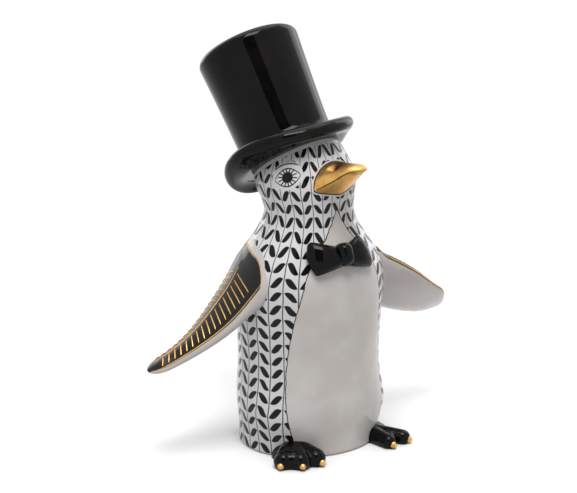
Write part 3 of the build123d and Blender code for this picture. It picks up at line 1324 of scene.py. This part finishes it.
@dataclass(frozen=True)
class BrushLines:
    """Lines drawn with a fine brush: thin raised strands that swell in the middle, in mm."""

    width: float = 0.3
    taper: float = 0.45
    sides: int = 6

    def recipe(self) -> NodeRecipe:
        """The tree that turns lines into strands.

        Returns:
            The tree.
        """
        made = NodeRecipe("brushed_line", [("Width", "NodeSocketFloat"), ("Sides", "NodeSocketInt")])
        swell = made.out("GeometryNodeInputNamedAttribute", {"data_type": "FLOAT"}, {"Name": "swell"})
        curve = made.out("GeometryNodeMeshToCurve", sockets={0: made.given("Geometry")})
        ring = made.out(
            "GeometryNodeCurvePrimitiveCircle",
            {"mode": "RADIUS"},
            {"Resolution": made.given("Sides"), "Radius": made.given("Width") * 0.5},
        )
        strand = {0: curve, 1: ring, "Scale": swell, "Fill Caps": True}
        made.end(made.out("GeometryNodeCurveToMesh", sockets=strand))
        return made

    def draw(
        self, name: str, lines: Sequence[np.ndarray], material: bpy.types.Material
    ) -> bpy.types.Object:
        """Draws lines in one piece.

        Args:
            name: the piece's name.
            lines: points of each line, in mm.
            material: the paint.

        Returns:
            The object.
        """
        mesh = wire_mesh(lines)
        swell = []
        for line in lines:
            share = np.linspace(-1, 1, len(line))
            swell.append(1 - (1 - self.taper) * np.abs(share) ** 3)
        mesh.attributes.new("swell", "FLOAT", "POINT").data.foreach_set(
            "value", np.concatenate(swell).astype(np.float32)
        )
        made = self.recipe().run(mesh, {"Width": self.width, "Sides": self.sides, "Material": material})
        made.transform(Matrix.Scale(MM, 4))
        return shown(name, made, None)


@dataclass(frozen=True)
class TopHat:
    """The tipped hat: a brim with a rolled rim that dips fore and aft, and a flared crown, in mm."""

    seat_radius: float = 13.1
    brim_radius: float = 18.2
    brim_thickness: float = 3.0
    rim_radius: float = 1.9
    rim_curl: float = 0.5
    saddle: float = 2.0
    lean: float = 1.1
    lean_turn: float = -42.0
    crown_foot: float = 12.3
    crown_top: float = 13.7
    crown_height: float = 30.2
    cove: float = 2.8
    lap: float = 1.5
    crown_sink: float = 0.1
    saddle_margin: float = 1.0
    flare_power: float = 1.25
    edge: float = 2.2
    dome: float = 0.8
    steps: int = 192
    samples: int = 140

    def recipe(self) -> NodeRecipe:
        """The tree that turns a profile about the hat's axis and bends its outer part to a saddle.

        Returns:
            The tree.
        """
        counts = [(label, "NodeSocketInt") for label in ("Steps", "Samples")]
        labels = ("Saddle", "Saddle Start", "Saddle End", "Lean", "Lean Turn")
        made = NodeRecipe("turned_profile", [*counts, *((label, "NodeSocketFloat") for label in labels)])
        steps, samples = made.given("Steps"), made.given("Samples")
        profile = made.out("GeometryNodeMeshToCurve", sockets={0: made.given("Geometry")})
        grid = made.out("GeometryNodeMeshGrid", sockets={"Vertices X": steps + 1, "Vertices Y": samples})
        index = made.out("GeometryNodeInputIndex")
        turn = (index / samples).math("FLOOR") / steps * TURN
        factor = index % samples / (samples - 1)
        sample = made.out(
            "GeometryNodeSampleCurve", {"mode": "FACTOR"}, {"Curves": profile, "Factor": factor}, "Position"
        )
        parts = made.node("ShaderNodeSeparateXYZ", sockets={0: sample})
        radius, height = Wire(made, parts.outputs[0]), Wire(made, parts.outputs[2])
        span = made.given("Saddle End") - made.given("Saddle Start")
        outer = ((radius - made.given("Saddle Start")) / span).step(1.0)
        waves = made.given("Saddle") * (turn * 2.0).math("COSINE")
        waves = waves + made.given("Lean") * (turn - made.given("Lean Turn")).math("COSINE")
        bent = height + outer * waves
        place = made.vector(radius * turn.math("COSINE"), radius * turn.math("SINE"), bent)
        moved = made.out("GeometryNodeSetPosition", sockets={"Geometry": grid, "Position": place})
        made.end(made.out("GeometryNodeMergeByDistance", sockets={"Geometry": moved, "Distance": 0.002}))
        return made

    @staticmethod
    def arc(middle: Spot, radius: float, start: float, end: float) -> list[Spot]:
        """Points of an arc in the profile.

        Args:
            middle: its centre.
            radius: its radius.
            start: its first angle in degrees.
            end: its last angle in degrees.

        Returns:
            Radius and height of each point.
        """
        turns = np.radians(np.linspace(start, end, 17))
        return [(middle[0] + radius * math.cos(t), middle[1] + radius * math.sin(t)) for t in turns]

    @staticmethod
    def ease(low: Spot, high: Spot) -> list[Spot]:
        """Points of an S-curve in the profile, which starts and ends level.

        Args:
            low: its start, left out.
            high: its end, left out.

        Returns:
            Radius and height of each point.
        """
        share = np.linspace(0, 1, 13)[1:-1]
        radii = low[0] + (high[0] - low[0]) * share
        return list(zip(radii, low[1] + (high[1] - low[1]) * rises(share, 0.0, 1.0)))

    def brim_profile(self) -> list[Spot]:
        """The brim's profile, from the axis below to the axis above.

        Returns:
            Radius and height of each point.
        """
        rim = self.brim_radius - self.rim_radius
        high = self.rim_curl + 2 * self.rim_radius
        seat, inner = (self.seat_radius, 0.0), (self.crown_foot + self.cove - self.lap, self.brim_thickness)
        lower = [(0.0, 0.0), seat, *self.ease(seat, (rim, self.rim_curl))]
        roll = self.arc((rim, self.rim_curl + self.rim_radius), self.rim_radius, -90, 90)
        upper = self.ease((rim, high), inner)
        return [*lower, *roll, *upper, inner, (0.0, self.brim_thickness)]

    def crown_profile(self) -> list[Spot]:
        """The crown's profile, from the axis below to the axis above.

        Returns:
            Radius and height of each point.
        """
        foot = self.brim_thickness - self.crown_sink
        top = self.brim_thickness + self.crown_height
        cove = self.arc((self.crown_foot + self.cove, foot + self.cove), self.cove, 270, 180)
        shoulder = self.arc((self.crown_top - self.edge, top - self.edge), self.edge, 0, 90)
        flare = np.linspace(0, 1, 15)[1:-1]
        rise = top - self.edge - foot - self.cove
        radii = self.crown_foot + (self.crown_top - self.crown_foot) * flare**self.flare_power
        wall = zip(radii, foot + self.cove + rise * flare)
        lid = self.ease((self.crown_top - self.edge, top), (0.0, top + self.dome))
        return [(0.0, foot), *cove, *wall, *shoulder, *lid, (0.0, top + self.dome)]

    def build(self, black: bpy.types.Material) -> None:
        """Builds and dresses brim and crown.

        Args:
            black: the glaze.
        """
        for name, profile, bend in (
            ("hat_brim", self.brim_profile(), 1.0),
            ("hat_crown", self.crown_profile(), 0.0),
        ):
            line = np.array([(radius, 0.0, height) for radius, height in profile])
            sizes = {
                "Steps": self.steps,
                "Samples": self.samples,
                "Saddle": self.saddle * bend,
                "Lean": self.lean * bend,
                "Lean Turn": math.radians(self.lean_turn),
                "Saddle Start": self.crown_foot + self.saddle_margin,
                "Saddle End": self.brim_radius,
                "Material": black,
            }
            mesh = self.recipe().run(wire_mesh([line]), sizes)
            mesh.transform(POSE.hat_matrix())
            deliver(shown(f"top_{name}", mesh, black), Slot.BLACK, name)


@dataclass(frozen=True)
class BowTie:
    """A puffed bow tie that lies round the collar, in mm."""

    height: float = 52.9
    turn: float = 1.0
    tilt: float = 24.0
    forward: float = 0.9
    knot_width: float = 4.6
    knot_height: float = 6.0
    knot_depth: float = 5.6
    knot_proud: float = 0.7
    knot_rise: float = 0.35
    knot_square: float = 0.85
    right_slants: tuple[float, float] = (0.2, 1.6)
    left_slants: tuple[float, float] = (1.5, 0.2)
    right_length: float = 9.5
    left_length: float = 8.6
    loop_height: float = 9.4
    waist_height: float = 4.4
    thickness: float = 4.0
    loop_end: float = 0.8
    loop_square: float = 0.72
    fold: float = 0.35
    arch: float = 0.25
    rings: int = 48
    around: int = 48

    def frame_at(self, way: np.ndarray) -> tuple[np.ndarray, np.ndarray, np.ndarray]:
        """Frames on the collar, a way round it from the middle.

        Args:
            way: ways in mm, to the bird's left.

        Returns:
            Points, the ways up the slope and the ways off it.
        """
        half_width, half_depth, _ = FORM.half_sizes(np.array(self.height))
        turn = math.radians(self.turn) + way / half_width
        zero = np.zeros_like(turn)
        point = np.stack([half_width * np.sin(turn), -half_depth * np.cos(turn), zero + self.height], axis=-1)
        level = unit(np.stack([half_depth * np.sin(turn), -half_width * np.cos(turn), zero], axis=-1))
        cos, sin = math.cos(math.radians(self.tilt)), math.sin(math.radians(self.tilt))
        return point, UP * cos - level * sin, level * cos + UP * sin

    def loop(self, side: Side) -> np.ndarray:
        """Rings of one loop, from the knot to its rounded end.

        Args:
            side: which loop.

        Returns:
            Rings of points in mm.
        """
        length = self.right_length if side is Side.RIGHT else self.left_length
        slants = self.right_slants if side is Side.RIGHT else self.left_slants
        share = (1 - (1 - np.linspace(0.0, 1.0, self.rings)) ** 1.7)[:, None]
        end = rounded_end(share, self.loop_end)
        tall = self.waist_height + (self.loop_height - self.waist_height) * share**0.85
        tall = tall * (0.62 + 0.38 * end)
        swell = 0.7 + 0.32 * np.sin(math.pi * np.clip(share * 1.1, 0, 1))
        thick = self.thickness * swell * (0.25 + 0.75 * end)
        turn = np.linspace(0, TURN, self.around, endpoint=False)[None, :]
        high = powered(np.cos(turn), self.loop_square)
        fold = self.fold * np.exp(-((share - 0.12) / 0.2) ** 2) * np.cos(turn * 3)
        puff = np.sin(turn) * (thick / 2) + fold * np.sin(turn)
        slant = np.clip(high, 0, 1) * slants[0] + np.clip(-high, 0, 1) * slants[1]
        point, up, out = self.frame_at(side.value * (share * length - slant * share**2))
        off = self.forward + self.arch * np.sin(math.pi * share) + puff
        return point + up * (high * tall / 2)[..., None] + out * off[..., None]

    def knot(self) -> np.ndarray:
        """Rings of the knot, from below to above.

        Returns:
            Rings of points in mm.
        """
        point, up, out = (row[0] for row in self.frame_at(np.zeros(1)))
        sideways = np.cross(up, out) * -1.0
        share = np.sin(np.linspace(-math.pi / 2, math.pi / 2, 33))
        full = np.clip(1 - np.abs(share) ** 3.0, 0.0, 1.0) ** (1 / 2.4)
        pinch = 1 - 0.08 * np.cos(share * math.pi)
        turn = np.linspace(0, TURN, self.around, endpoint=False)[None, :]
        across = powered(np.cos(turn), self.knot_square) * self.knot_width / 2
        deep = np.sin(turn) * self.knot_depth / 2
        middle = point + out * (self.forward + self.knot_proud)
        return (
            middle
            + up * (share * self.knot_height / 2 + self.knot_rise)[:, None, None]
            + sideways * (across * (full * pinch)[:, None])[..., None]
            + out * (deep * full[:, None])[..., None]
        )

    def build(self, black: bpy.types.Material) -> None:
        """Builds and dresses knot and loops.

        Args:
            black: the glaze.
        """
        deliver(skin("bow_knot", self.knot(), black), Slot.BLACK, "tie_knot")
        for side in Side:
            name = f"tie_{side.label}_loop"
            deliver(skin(f"bow_{side.label}_loop", self.loop(side), black), Slot.BLACK, name)


@dataclass(frozen=True)
class WingPaint:
    """Black glaze on a wing's outer face, bare porcelain on its inner face, darker than the body's as painted
    shade.
    """

    black: Colour = (0.005, 0.005, 0.0055)
    # A darker copy of the porcelain: painted shade on the wings.
    porcelain: Porcelain = Porcelain(white=(0.585, 0.555, 0.54), shade=(0.535, 0.5, 0.48))

    def material(self, name: str) -> bpy.types.Material:
        """Makes the material.

        Args:
            name: its name.

        Returns:
            The material.
        """
        paint = Paint(name)
        face = paint.mark("face") + (paint.noise(3.0) - 0.5) * 0.02
        bare = self.porcelain.ground(paint)
        return self.porcelain.finish(paint, bare, face.step(0.02), self.black, 0.35)


@dataclass(frozen=True)
class Wing:
    """A flipper on an arc from the shoulder, with gilt feather lines on its outer face, in mm."""

    side: Side
    drop: float
    inset: float
    droop: float
    lift: float
    twist: float
    border: float
    length: float
    chords: tuple[float, ...]
    caps: tuple[float, ...]
    drape: float = 0.0
    bows: tuple[float, ...] = (0.0,) * 7
    line_inset: float = 0.035
    chord: float = 16.2
    thickness: float = 6.2
    sweep: float = 8.0
    reaches: tuple[float, ...] = (0.0, 0.12, 0.24, 0.5, 0.78, 0.94, 1.0)
    thicks: tuple[float, ...] = (0.55, 0.88, 1.0, 0.88, 0.6, 0.42, 0.34)
    cap_turns: tuple[float, ...] = (0.0, 0.2, 0.4, 0.55, 0.7, 0.8, 0.9, 1.0)
    tip_start: float = 0.9
    web: float = 3.0
    web_flare: float = 0.16
    back_border: float = 0.03
    barbs: int = 17
    barb_span: tuple[float, float] = (0.24, 0.89)
    barb_reach: float = 0.055
    quill_span: tuple[float, float] = (0.2, 0.95)
    back_start: float = 0.08
    edge_end: float = 0.985
    root_gap: float = 0.2
    line_gap: float = 0.15
    lift_limit: float = 1.5
    gilt_width: float = 0.34
    back_fade: float = 0.16
    rings: int = 120
    around: int = 96

    def point(self, reach: np.ndarray, turn: np.ndarray) -> np.ndarray:
        """Points of the wing's outside.

        Args:
            reach: shares of the length.
            turn: turns round the section: 0 at the back edge, a quarter on the outer face.

        Returns:
            Points in mm.
        """
        reach, turn = np.broadcast_arrays(reach, turn)
        sign, sweep = self.side.value, math.radians(self.sweep)
        out = np.array([sign * math.cos(sweep), math.sin(sweep), 0.0])
        across = np.array([-sign * math.sin(sweep), math.cos(sweep), 0.0])
        height = FORM.neck - self.drop
        root = np.array([sign * (FORM.half_sizes(np.array(height))[0] - self.inset), 0.0, height])
        start, lift = math.radians(self.droop), math.radians(self.lift)
        angle = (start - reach * lift)[..., None]
        radius = self.length / lift
        middle = root + out * (math.sin(start) - np.sin(angle)) * radius
        middle = middle - UP * (np.cos(angle) - math.cos(start)) * radius
        along = out * np.cos(angle) - UP * np.sin(angle)
        spin = -sign * math.radians(self.twist)
        chord_way = across * math.cos(spin) + np.cross(along, across) * math.sin(spin)
        outer = sign * np.cross(along, chord_way)
        close = rounded_end(reach, self.tip_start)
        chord = smooth_curve(self.reaches, self.chords)(reach) * self.chord / 2 * close
        thick = smooth_curve(self.reaches, self.thicks)(reach) * self.thickness / 2 * close
        shift = chord * np.cos(turn) - smooth_curve(self.reaches, self.bows)(reach)
        section = shift[..., None] * chord_way + (thick * np.sin(turn))[..., None] * outer
        gap = np.clip(-FORM.inside(middle + section), 0.0, self.web) / self.web
        flare = 1 + self.web_flare * (1 - gap) ** 2 * (reach < 0.5)
        return self.draped(middle + section * flare[..., None], reach, turn)

    def draped(self, points: np.ndarray, reach: np.ndarray, turn: np.ndarray) -> np.ndarray:
        """Lifts the cap of the outer face off the shoulder that it lies on.

        Args:
            points: points of the wing in mm.
            reach: their shares of the length.
            turn: their turns round the section.

        Returns:
            The points, lifted where they lay too deep.
        """
        past_cap = rises(reach - self.cap_start(turn), -0.06, 0.02)
        lap = self.drape * past_cap * np.clip(np.sin(turn) * 4, 0, 1)
        push = np.clip(lap + FORM.inside(points), 0.0, self.lift_limit) * (reach < 0.5)
        half_width, half_depth, back = FORM.half_sizes(points[..., 2])
        slopes = points[..., 0] / half_width**2, (points[..., 1] - back) / half_depth**2
        normal = unit(np.stack(slopes, axis=-1))
        return np.concatenate([points[..., :2] + normal * push[..., None], points[..., 2:]], axis=-1)

    def cap_start(self, turn: np.ndarray) -> np.ndarray:
        """The share of the length where the black starts, at turns round the section."""
        return smooth_curve(self.cap_turns, self.caps)(np.clip(turn / math.pi, 0.0, 1.0))

    def on_face(self, turn: float, start: float, end: float, end_turn: Optional[float] = None) -> np.ndarray:
        """A line drawn along the wing's surface.

        Args:
            turn: where it starts round the section, in half turns.
            start: its first share of the length.
            end: its last share of the length.
            end_turn: where it ends round the section, if elsewhere.

        Returns:
            Points in mm, outside the body.
        """
        count = max(8, int(abs(end - start) * 90))
        turns = np.linspace(turn, turn if end_turn is None else end_turn, count) * math.pi
        points = self.point(np.linspace(start, end, count), turns)
        return points[FORM.inside(points) < -self.line_gap]

    def shoulder_line(self, gap: float) -> np.ndarray:
        """The line round the wing's root, a gap off the body.

        Args:
            gap: the distance from the body in mm.

        Returns:
            Points in mm.
        """
        turn = np.linspace(self.back_border, self.border - self.line_inset, 60) * math.pi
        hidden = halved(
            np.zeros(60), np.full(60, 0.6), lambda reach: FORM.inside(self.point(reach, turn)) > -gap
        )
        return self.point(np.maximum(hidden, self.cap_start(turn)), turn)

    def feather_lines(self) -> list[np.ndarray]:
        """The gilt lines: edges, quill and barbs.

        Returns:
            Lines of points in mm.
        """
        front = self.border - self.line_inset
        middle, half = (front + self.back_border) / 2, (front - self.back_border) / 2
        begin = float(self.cap_start(np.array(front * math.pi)))
        lines = [
            self.on_face(self.back_border, self.back_start, self.edge_end),
            self.on_face(front, begin, self.edge_end),
            self.on_face(middle, *self.quill_span),
            self.shoulder_line(self.root_gap),
        ]
        for start in np.linspace(*self.barb_span, self.barbs):
            reach = self.barb_reach * (1.1 - 0.6 * start)
            for way in (-1, 1):
                turns = (middle + way * half * 0.1, middle + way * half * 0.8)
                lines.append(self.on_face(turns[0], start, start + reach, turns[1]))
        return [line for line in lines if len(line) > 3]

    def build(self, gold: bpy.types.Material) -> None:
        """Builds and dresses the wing and its gilt lines.

        Args:
            gold: the gilding.
        """
        reach = (1 - (1 - np.linspace(0, 1, self.rings)) ** 1.5)[:, None] * 0.9995
        turn = np.linspace(0, TURN, self.around, endpoint=False)[None, :]
        rings = self.point(reach, turn)
        name = f"{self.side.label}_wing"
        piece = skin(f"{self.side.label}_flipper", rings, WingPaint().material(f"painted_{name}"))
        places = KDTree(rings.shape[0] * rings.shape[1])
        for i, point in enumerate(rings.reshape(-1, 3)):
            places.insert(point, i)
        places.balance()
        share = self.face_share(reach, turn).reshape(-1)
        store(piece, "face", lambda points: [share[places.find(point)[1]] for point in points])
        deliver(piece, Slot.WHITE, name)
        brush = BrushLines(self.gilt_width)
        deliver(brush.draw(f"{self.side.label}_feather_gilt", self.feather_lines(), gold), Slot.GOLD)

    def face_share(self, reach: np.ndarray, turn: np.ndarray) -> np.ndarray:
        """How far points lie inside the black of the outer face, in half turns; below 0 is bare.

        Args:
            reach: shares of the length.
            turn: turns round the section.

        Returns:
            The shares; the black fades out slowly along the back edge.
        """
        half_turns = turn / math.pi
        half_turns = np.where(half_turns > 1.5, half_turns - 2.0, half_turns)
        sides = np.minimum(self.border - half_turns, (half_turns - self.back_border) * self.back_fade)
        return np.minimum(sides, (reach - self.cap_start(half_turns * math.pi)) * 2.0)


@dataclass(frozen=True)
class Foot:
    """A domed foot with three toes and small gilt claws, in mm."""

    side: Side
    front: float
    spread: float = 11.4
    turn: float = 18.0
    splay: float = 30.0
    toe_shares: tuple[float, ...] = (1.0, 1.0, 1.0)
    filled: Optional[int] = None
    instep: tuple[float, float, float] = (5.9, 5.0, 4.5)
    instep_shift: float = 1.5
    instep_half: float = 1.5
    toe_length: float = 8.6
    toe_radius: float = 2.6
    toe_height: float = 1.75
    claw_length: float = 3.4
    claw_radius: float = 1.0
    claw_height: float = 1.3
    claw_shown: float = 0.6
    claw_dip: float = 0.12
    voxel: float = 0.22
    soften: int = 34

    @property
    def ankle(self) -> np.ndarray:
        """The middle of the foot on the ground."""
        return np.array([self.side.value * self.spread, -self.front, 0.0])

    def toe_ways(self) -> list[np.ndarray]:
        """The level ways of the three toes, from the inner one, each as long as its toe's share."""
        turns = [math.radians(self.side.value * (self.turn + s)) for s in (-self.splay, 0.0, self.splay)]
        ways = [np.array([math.sin(t), -math.cos(t), 0.0]) for t in turns]
        return [way * share for way, share in zip(ways, self.toe_shares)]

    def form(self, black: bpy.types.Material) -> bpy.types.Object:
        """Melts instep and toes into one smooth foot, flat on the ground.

        Args:
            black: the glaze.

        Returns:
            The foot.
        """
        shape = bmesh.new()
        inward = np.array([-self.side.value, 0.0, 0.0])
        shifts = (self.instep_shift - self.instep_half, self.instep_shift + self.instep_half)
        balls = [(self.ankle + inward * shift, self.instep) for shift in shifts]
        ways = self.toe_ways()
        if self.filled is not None:
            ways.append((ways[self.filled] + ways[self.filled + 1]) / 2 * 0.95)
        for way in ways:
            for share in np.linspace(0.15, 1.0, 14):
                size = self.toe_radius * (1.2 - 0.2 * share)
                place = self.ankle + way * self.toe_length * share
                place[2] = self.toe_height + 0.2 * (1 - share)
                balls.append((place, (size, size, size)))
        for place, size in balls:
            spot = Matrix.Translation((place * MM).tolist()) @ Matrix.Diagonal((*(s * MM for s in size), 1.0))
            bmesh.ops.create_uvsphere(shape, u_segments=32, v_segments=20, radius=1.0, matrix=spot)
        piece = linked("foot", mesh_from("foot", shape))
        melt = piece.modifiers.new("melt", "REMESH")
        melt.mode = "VOXEL"
        melt.voxel_size = self.voxel * MM
        soften = piece.modifiers.new("soften", "SMOOTH")
        soften.factor = 0.5
        soften.iterations = self.soften
        melted = baked(piece)
        for vertex in melted.vertices:
            vertex.co.z = max(vertex.co.z, 0.0)
        return shown(f"{self.side.label}_webless_foot", melted, black)

    def claw_recipe(self) -> NodeRecipe:
        """The tree that sets a claw on each point, along its toe.

        Returns:
            The tree.
        """
        made = NodeRecipe("claws_on_toes", [("Radius", "NodeSocketFloat"), ("Length", "NodeSocketFloat")])
        ball = made.out("GeometryNodeMeshUVSphere", sockets={"Segments": 24, "Rings": 16, "Radius": 1.0})
        size = made.vector(made.given("Radius"), made.given("Radius"), made.given("Length") * 0.5)
        claw = made.out("GeometryNodeTransform", sockets={"Geometry": ball, "Scale": size})
        way = made.out("GeometryNodeInputNamedAttribute", {"data_type": "FLOAT_VECTOR"}, {"Name": "toe_way"})
        turned = made.out("FunctionNodeAlignRotationToVector", {"axis": "Z"}, {"Vector": way})
        placed = made.out(
            "GeometryNodeInstanceOnPoints",
            sockets={"Points": made.given("Geometry"), "Instance": claw, "Rotation": turned},
        )
        made.end(placed)
        return made

    def claws(self, gold: bpy.types.Material) -> bpy.types.Object:
        """Sets the three claws.

        Args:
            gold: the gilding.

        Returns:
            The claws in one piece.
        """
        ways = self.toe_ways()
        beyond = self.toe_radius + self.claw_shown - self.claw_length / 2
        lift = np.array([0.0, 0.0, self.claw_height])
        tips = [way * self.toe_length + way / np.linalg.norm(way) * beyond for way in ways]
        points = bpy.data.meshes.new("claw_points")
        points.from_pydata([tuple(self.ankle + tip + lift) for tip in tips], [], [])
        dips = np.array([way - UP * self.claw_dip for way in ways], np.float32)
        points.attributes.new("toe_way", "FLOAT_VECTOR", "POINT").data.foreach_set("vector", dips.reshape(-1))
        sizes = {"Radius": self.claw_radius, "Length": self.claw_length, "Material": gold}
        mesh = self.claw_recipe().run(points, sizes)
        mesh.transform(Matrix.Scale(MM, 4))
        for vertex in mesh.vertices:
            vertex.co.z = max(vertex.co.z, 0.0)
        return shown(f"{self.side.label}_gilt_claws", mesh, None)

    def build(self, black: bpy.types.Material, gold: bpy.types.Material) -> None:
        """Builds and dresses foot and claws.

        Args:
            black: the glaze.
            gold: the gilding.
        """
        deliver(self.form(black), Slot.BLACK, f"{self.side.label}_foot")
        deliver(self.claws(gold), Slot.GOLD, f"{self.side.label}_claws")


@dataclass(frozen=True)
class Lamp:
    """A soft box: where it stands, what it faces, its size in mm and its power in watts."""

    name: str
    place: tuple[float, float, float]
    target: tuple[float, float, float]
    size: tuple[float, float]
    power: float


@dataclass(frozen=True)
class Studio:
    """Pale floor, white surroundings, soft boxes and the camera of the photograph."""

    image_width: int = 577
    focal_pixels: float = 1800.76
    sensor: float = 36.0
    azimuth: float = 31.0
    elevation: float = 16.0
    camera_place: tuple[float, float, float] = (-236.3, -383.0, 181.0)
    world_light: float = 0.345
    floor_colour: Colour = (0.93, 0.93, 0.93)
    floor_bounce: Colour = (0.62, 0.61, 0.60)
    floor_radius: float = 460.0
    floor_fade: float = 170.0
    flag_place: tuple[float, float, float] = (-330.0, -550.0, 540.0)
    flag_size: tuple[float, float] = (330.0, 520.0)
    lamps: tuple[Lamp, ...] = (
        Lamp("top_box", (60.0, 160.0, 640.0), (0.0, 0.0, 40.0), (620.0, 520.0), 1.75),
        Lamp("key_box", (-110.0, -185.0, 640.0), (0.0, 0.0, 60.0), (300.0, 280.0), 3.0),
        Lamp("left_box", (-88.0, 553.0, 260.0), (0.0, 0.0, 50.0), (260.0, 520.0), 0.7),
        Lamp("right_box", (529.0, 182.0, 260.0), (0.0, 0.0, 50.0), (260.0, 520.0), 0.6),
    )

    def camera(self) -> None:
        """Sets the camera where the photograph was taken."""
        data = bpy.data.cameras.new("camera")
        data.sensor_width = self.sensor
        data.lens = self.focal_pixels / self.image_width * self.sensor
        data.clip_start = 0.01
        eye = linked("camera", data)
        turn, dip = math.radians(self.azimuth), math.radians(self.elevation)
        look = Vector((math.sin(turn) * math.cos(dip), math.cos(turn) * math.cos(dip), -math.sin(dip)))
        eye.rotation_euler = look.to_track_quat("-Z", "Y").to_euler()
        eye.location = Vector(self.camera_place) * MM
        bpy.context.scene.camera = eye

    def light(self) -> None:
        """Hangs the soft boxes and sets the white surroundings."""
        for lamp in self.lamps:
            data = bpy.data.lights.new(lamp.name, "AREA")
            data.shape = "RECTANGLE"
            data.size, data.size_y = (side * MM for side in lamp.size)
            data.energy = lamp.power
            box = linked(lamp.name, data)
            place, target = Vector(lamp.place) * MM, Vector(lamp.target) * MM
            box.location = place
            box.rotation_euler = (target - place).to_track_quat("-Z", "Y").to_euler()
        world = bpy.data.worlds.new("white_room")
        bpy.context.scene.world = world
        world.use_nodes = True
        world.node_tree.nodes.clear()
        bench = NodeBench(world.node_tree)
        shade = bench.out("ShaderNodeBackground", sockets={0: (1.0, 1.0, 1.0, 1.0), 1: self.world_light})
        white = bench.out("ShaderNodeBackground", sockets={0: (1.0, 1.0, 1.0, 1.0), 1: 1.0})
        mixed = bench.out("ShaderNodeMixShader", sockets={0: self.seen(bench), 1: shade, 2: white})
        bench.node("ShaderNodeOutputWorld", sockets={"Surface": mixed})

    @staticmethod
    def seen(bench: NodeBench) -> Wire:
        """Tells what is seen from what is lit.

        Args:
            bench: the tree to add to.

        Returns:
            1 for rays that the camera sees, straight or in a reflection, and 0 for light.
        """
        path = bench.node("ShaderNodeLightPath")
        rays = [Wire(bench, path.outputs[f"Is {kind} Ray"]) for kind in ("Camera", "Glossy", "Transmission")]
        return rays[0].atleast(rays[1]).atleast(rays[2])

    def floor(self) -> None:
        """Lays the pale floor, which fades into the white room far off."""
        form = bmesh.new()
        bmesh.ops.create_circle(form, cap_ends=True, segments=96, radius=self.floor_radius * MM)
        mesh = mesh_from("floor", form)
        paint = Paint("floor_paper")
        far = paint.out("ShaderNodeVectorMath", {"operation": "LENGTH"}, {0: paint.place()}, "Value") / MM
        near = 1.0 - (far - self.floor_fade).step(self.floor_radius - self.floor_fade - 10.0)
        tone = paint.mix_colours(self.seen(paint), self.floor_bounce, self.floor_colour)
        paint.set(Base_Color=tone, Roughness=0.9, Specular_IOR_Level=0.1, Alpha=near)
        mesh.materials.append(paint.material)
        disc = linked("floor", mesh)

    def flag(self) -> None:
        """Hangs a dark cloth by the camera, which only reflections see."""
        form = bmesh.new()
        bmesh.ops.create_grid(form, x_segments=1, y_segments=1, size=0.5)
        place = Vector(self.flag_place) * MM
        turn = (-place).to_track_quat("Z", "Y").to_matrix().to_4x4()
        size = Matrix.Diagonal((self.flag_size[0] * MM, self.flag_size[1] * MM, 1.0, 1.0))
        mesh = mesh_from("dark_flag", form)
        mesh.transform(Matrix.Translation(place) @ turn @ size)
        paint = Paint("flag_cloth")
        paint.set(Base_Color=(0.004, 0.004, 0.004, 1.0), Roughness=1.0, Specular_IOR_Level=0.0)
        mesh.materials.append(paint.material)
        cloth = linked("dark_flag", mesh)
        cloth.visible_camera = False

    def build(self) -> None:
        """Sets the whole studio."""
        bpy.context.scene.view_settings.view_transform = "Standard"
        self.camera()
        self.light()
        self.floor()
        self.flag()


def main() -> None:
    """Builds the figurine piece by piece, then the studio."""
    logging.basicConfig(level=logging.INFO, format="%(name)s %(message)s")
    black = BlackGlaze().material("glossy_black_glaze")
    gold = GoldLustre().material("gold_lustre_paint")
    feathers = FeatherPaint()
    bill = Bill()
    Trunk().build(feathers)
    Head().build(feathers, bill)
    bill.build(gold, black)
    TopHat().build(black)
    BowTie().build(black)
    Wing(
        Side.RIGHT,
        drop=7.4,
        inset=2.9,
        droop=68.0,
        lift=52.0,
        twist=-10.0,
        border=0.85,
        length=46.6,
        chords=(0.72, 0.9, 1.0, 0.85, 0.47, 0.38, 0.36),
        bows=(0.0, 0.0, 0.0, 0.3, 0.9, 1.1, 1.1),
        caps=(0.05, 0.055, 0.07, 0.09, 0.125, 0.2, 0.27, 0.3),
        drape=0.32,
    ).build(gold)
    Wing(
        Side.LEFT,
        drop=12.2,
        inset=8.2,
        droop=50.0,
        lift=38.0,
        twist=45.0,
        border=1.09,
        length=44.6,
        tip_start=0.84,
        chords=(0.5, 0.75, 0.92, 1.06, 0.84, 0.6, 0.45),
        bows=(0.0, 0.3, 0.7, 1.05, 0.4, -0.4, -1.1),
        caps=(0.0,) * 8,
        line_inset=0.06,
    ).build(gold)
    Foot(Side.RIGHT, front=11.0, turn=18.0, filled=1).build(black, gold)
    Foot(
        Side.LEFT,
        front=9.6,
        turn=36.0,
        splay=27.0,
        toe_shares=(1.14, 1.28, 0.5),
        instep_shift=-0.6,
        instep_half=0.3,
        toe_radius=2.1,
        toe_height=1.5,
    ).build(black, gold)
    Studio().build()


if __name__ == "__main__":
    main()
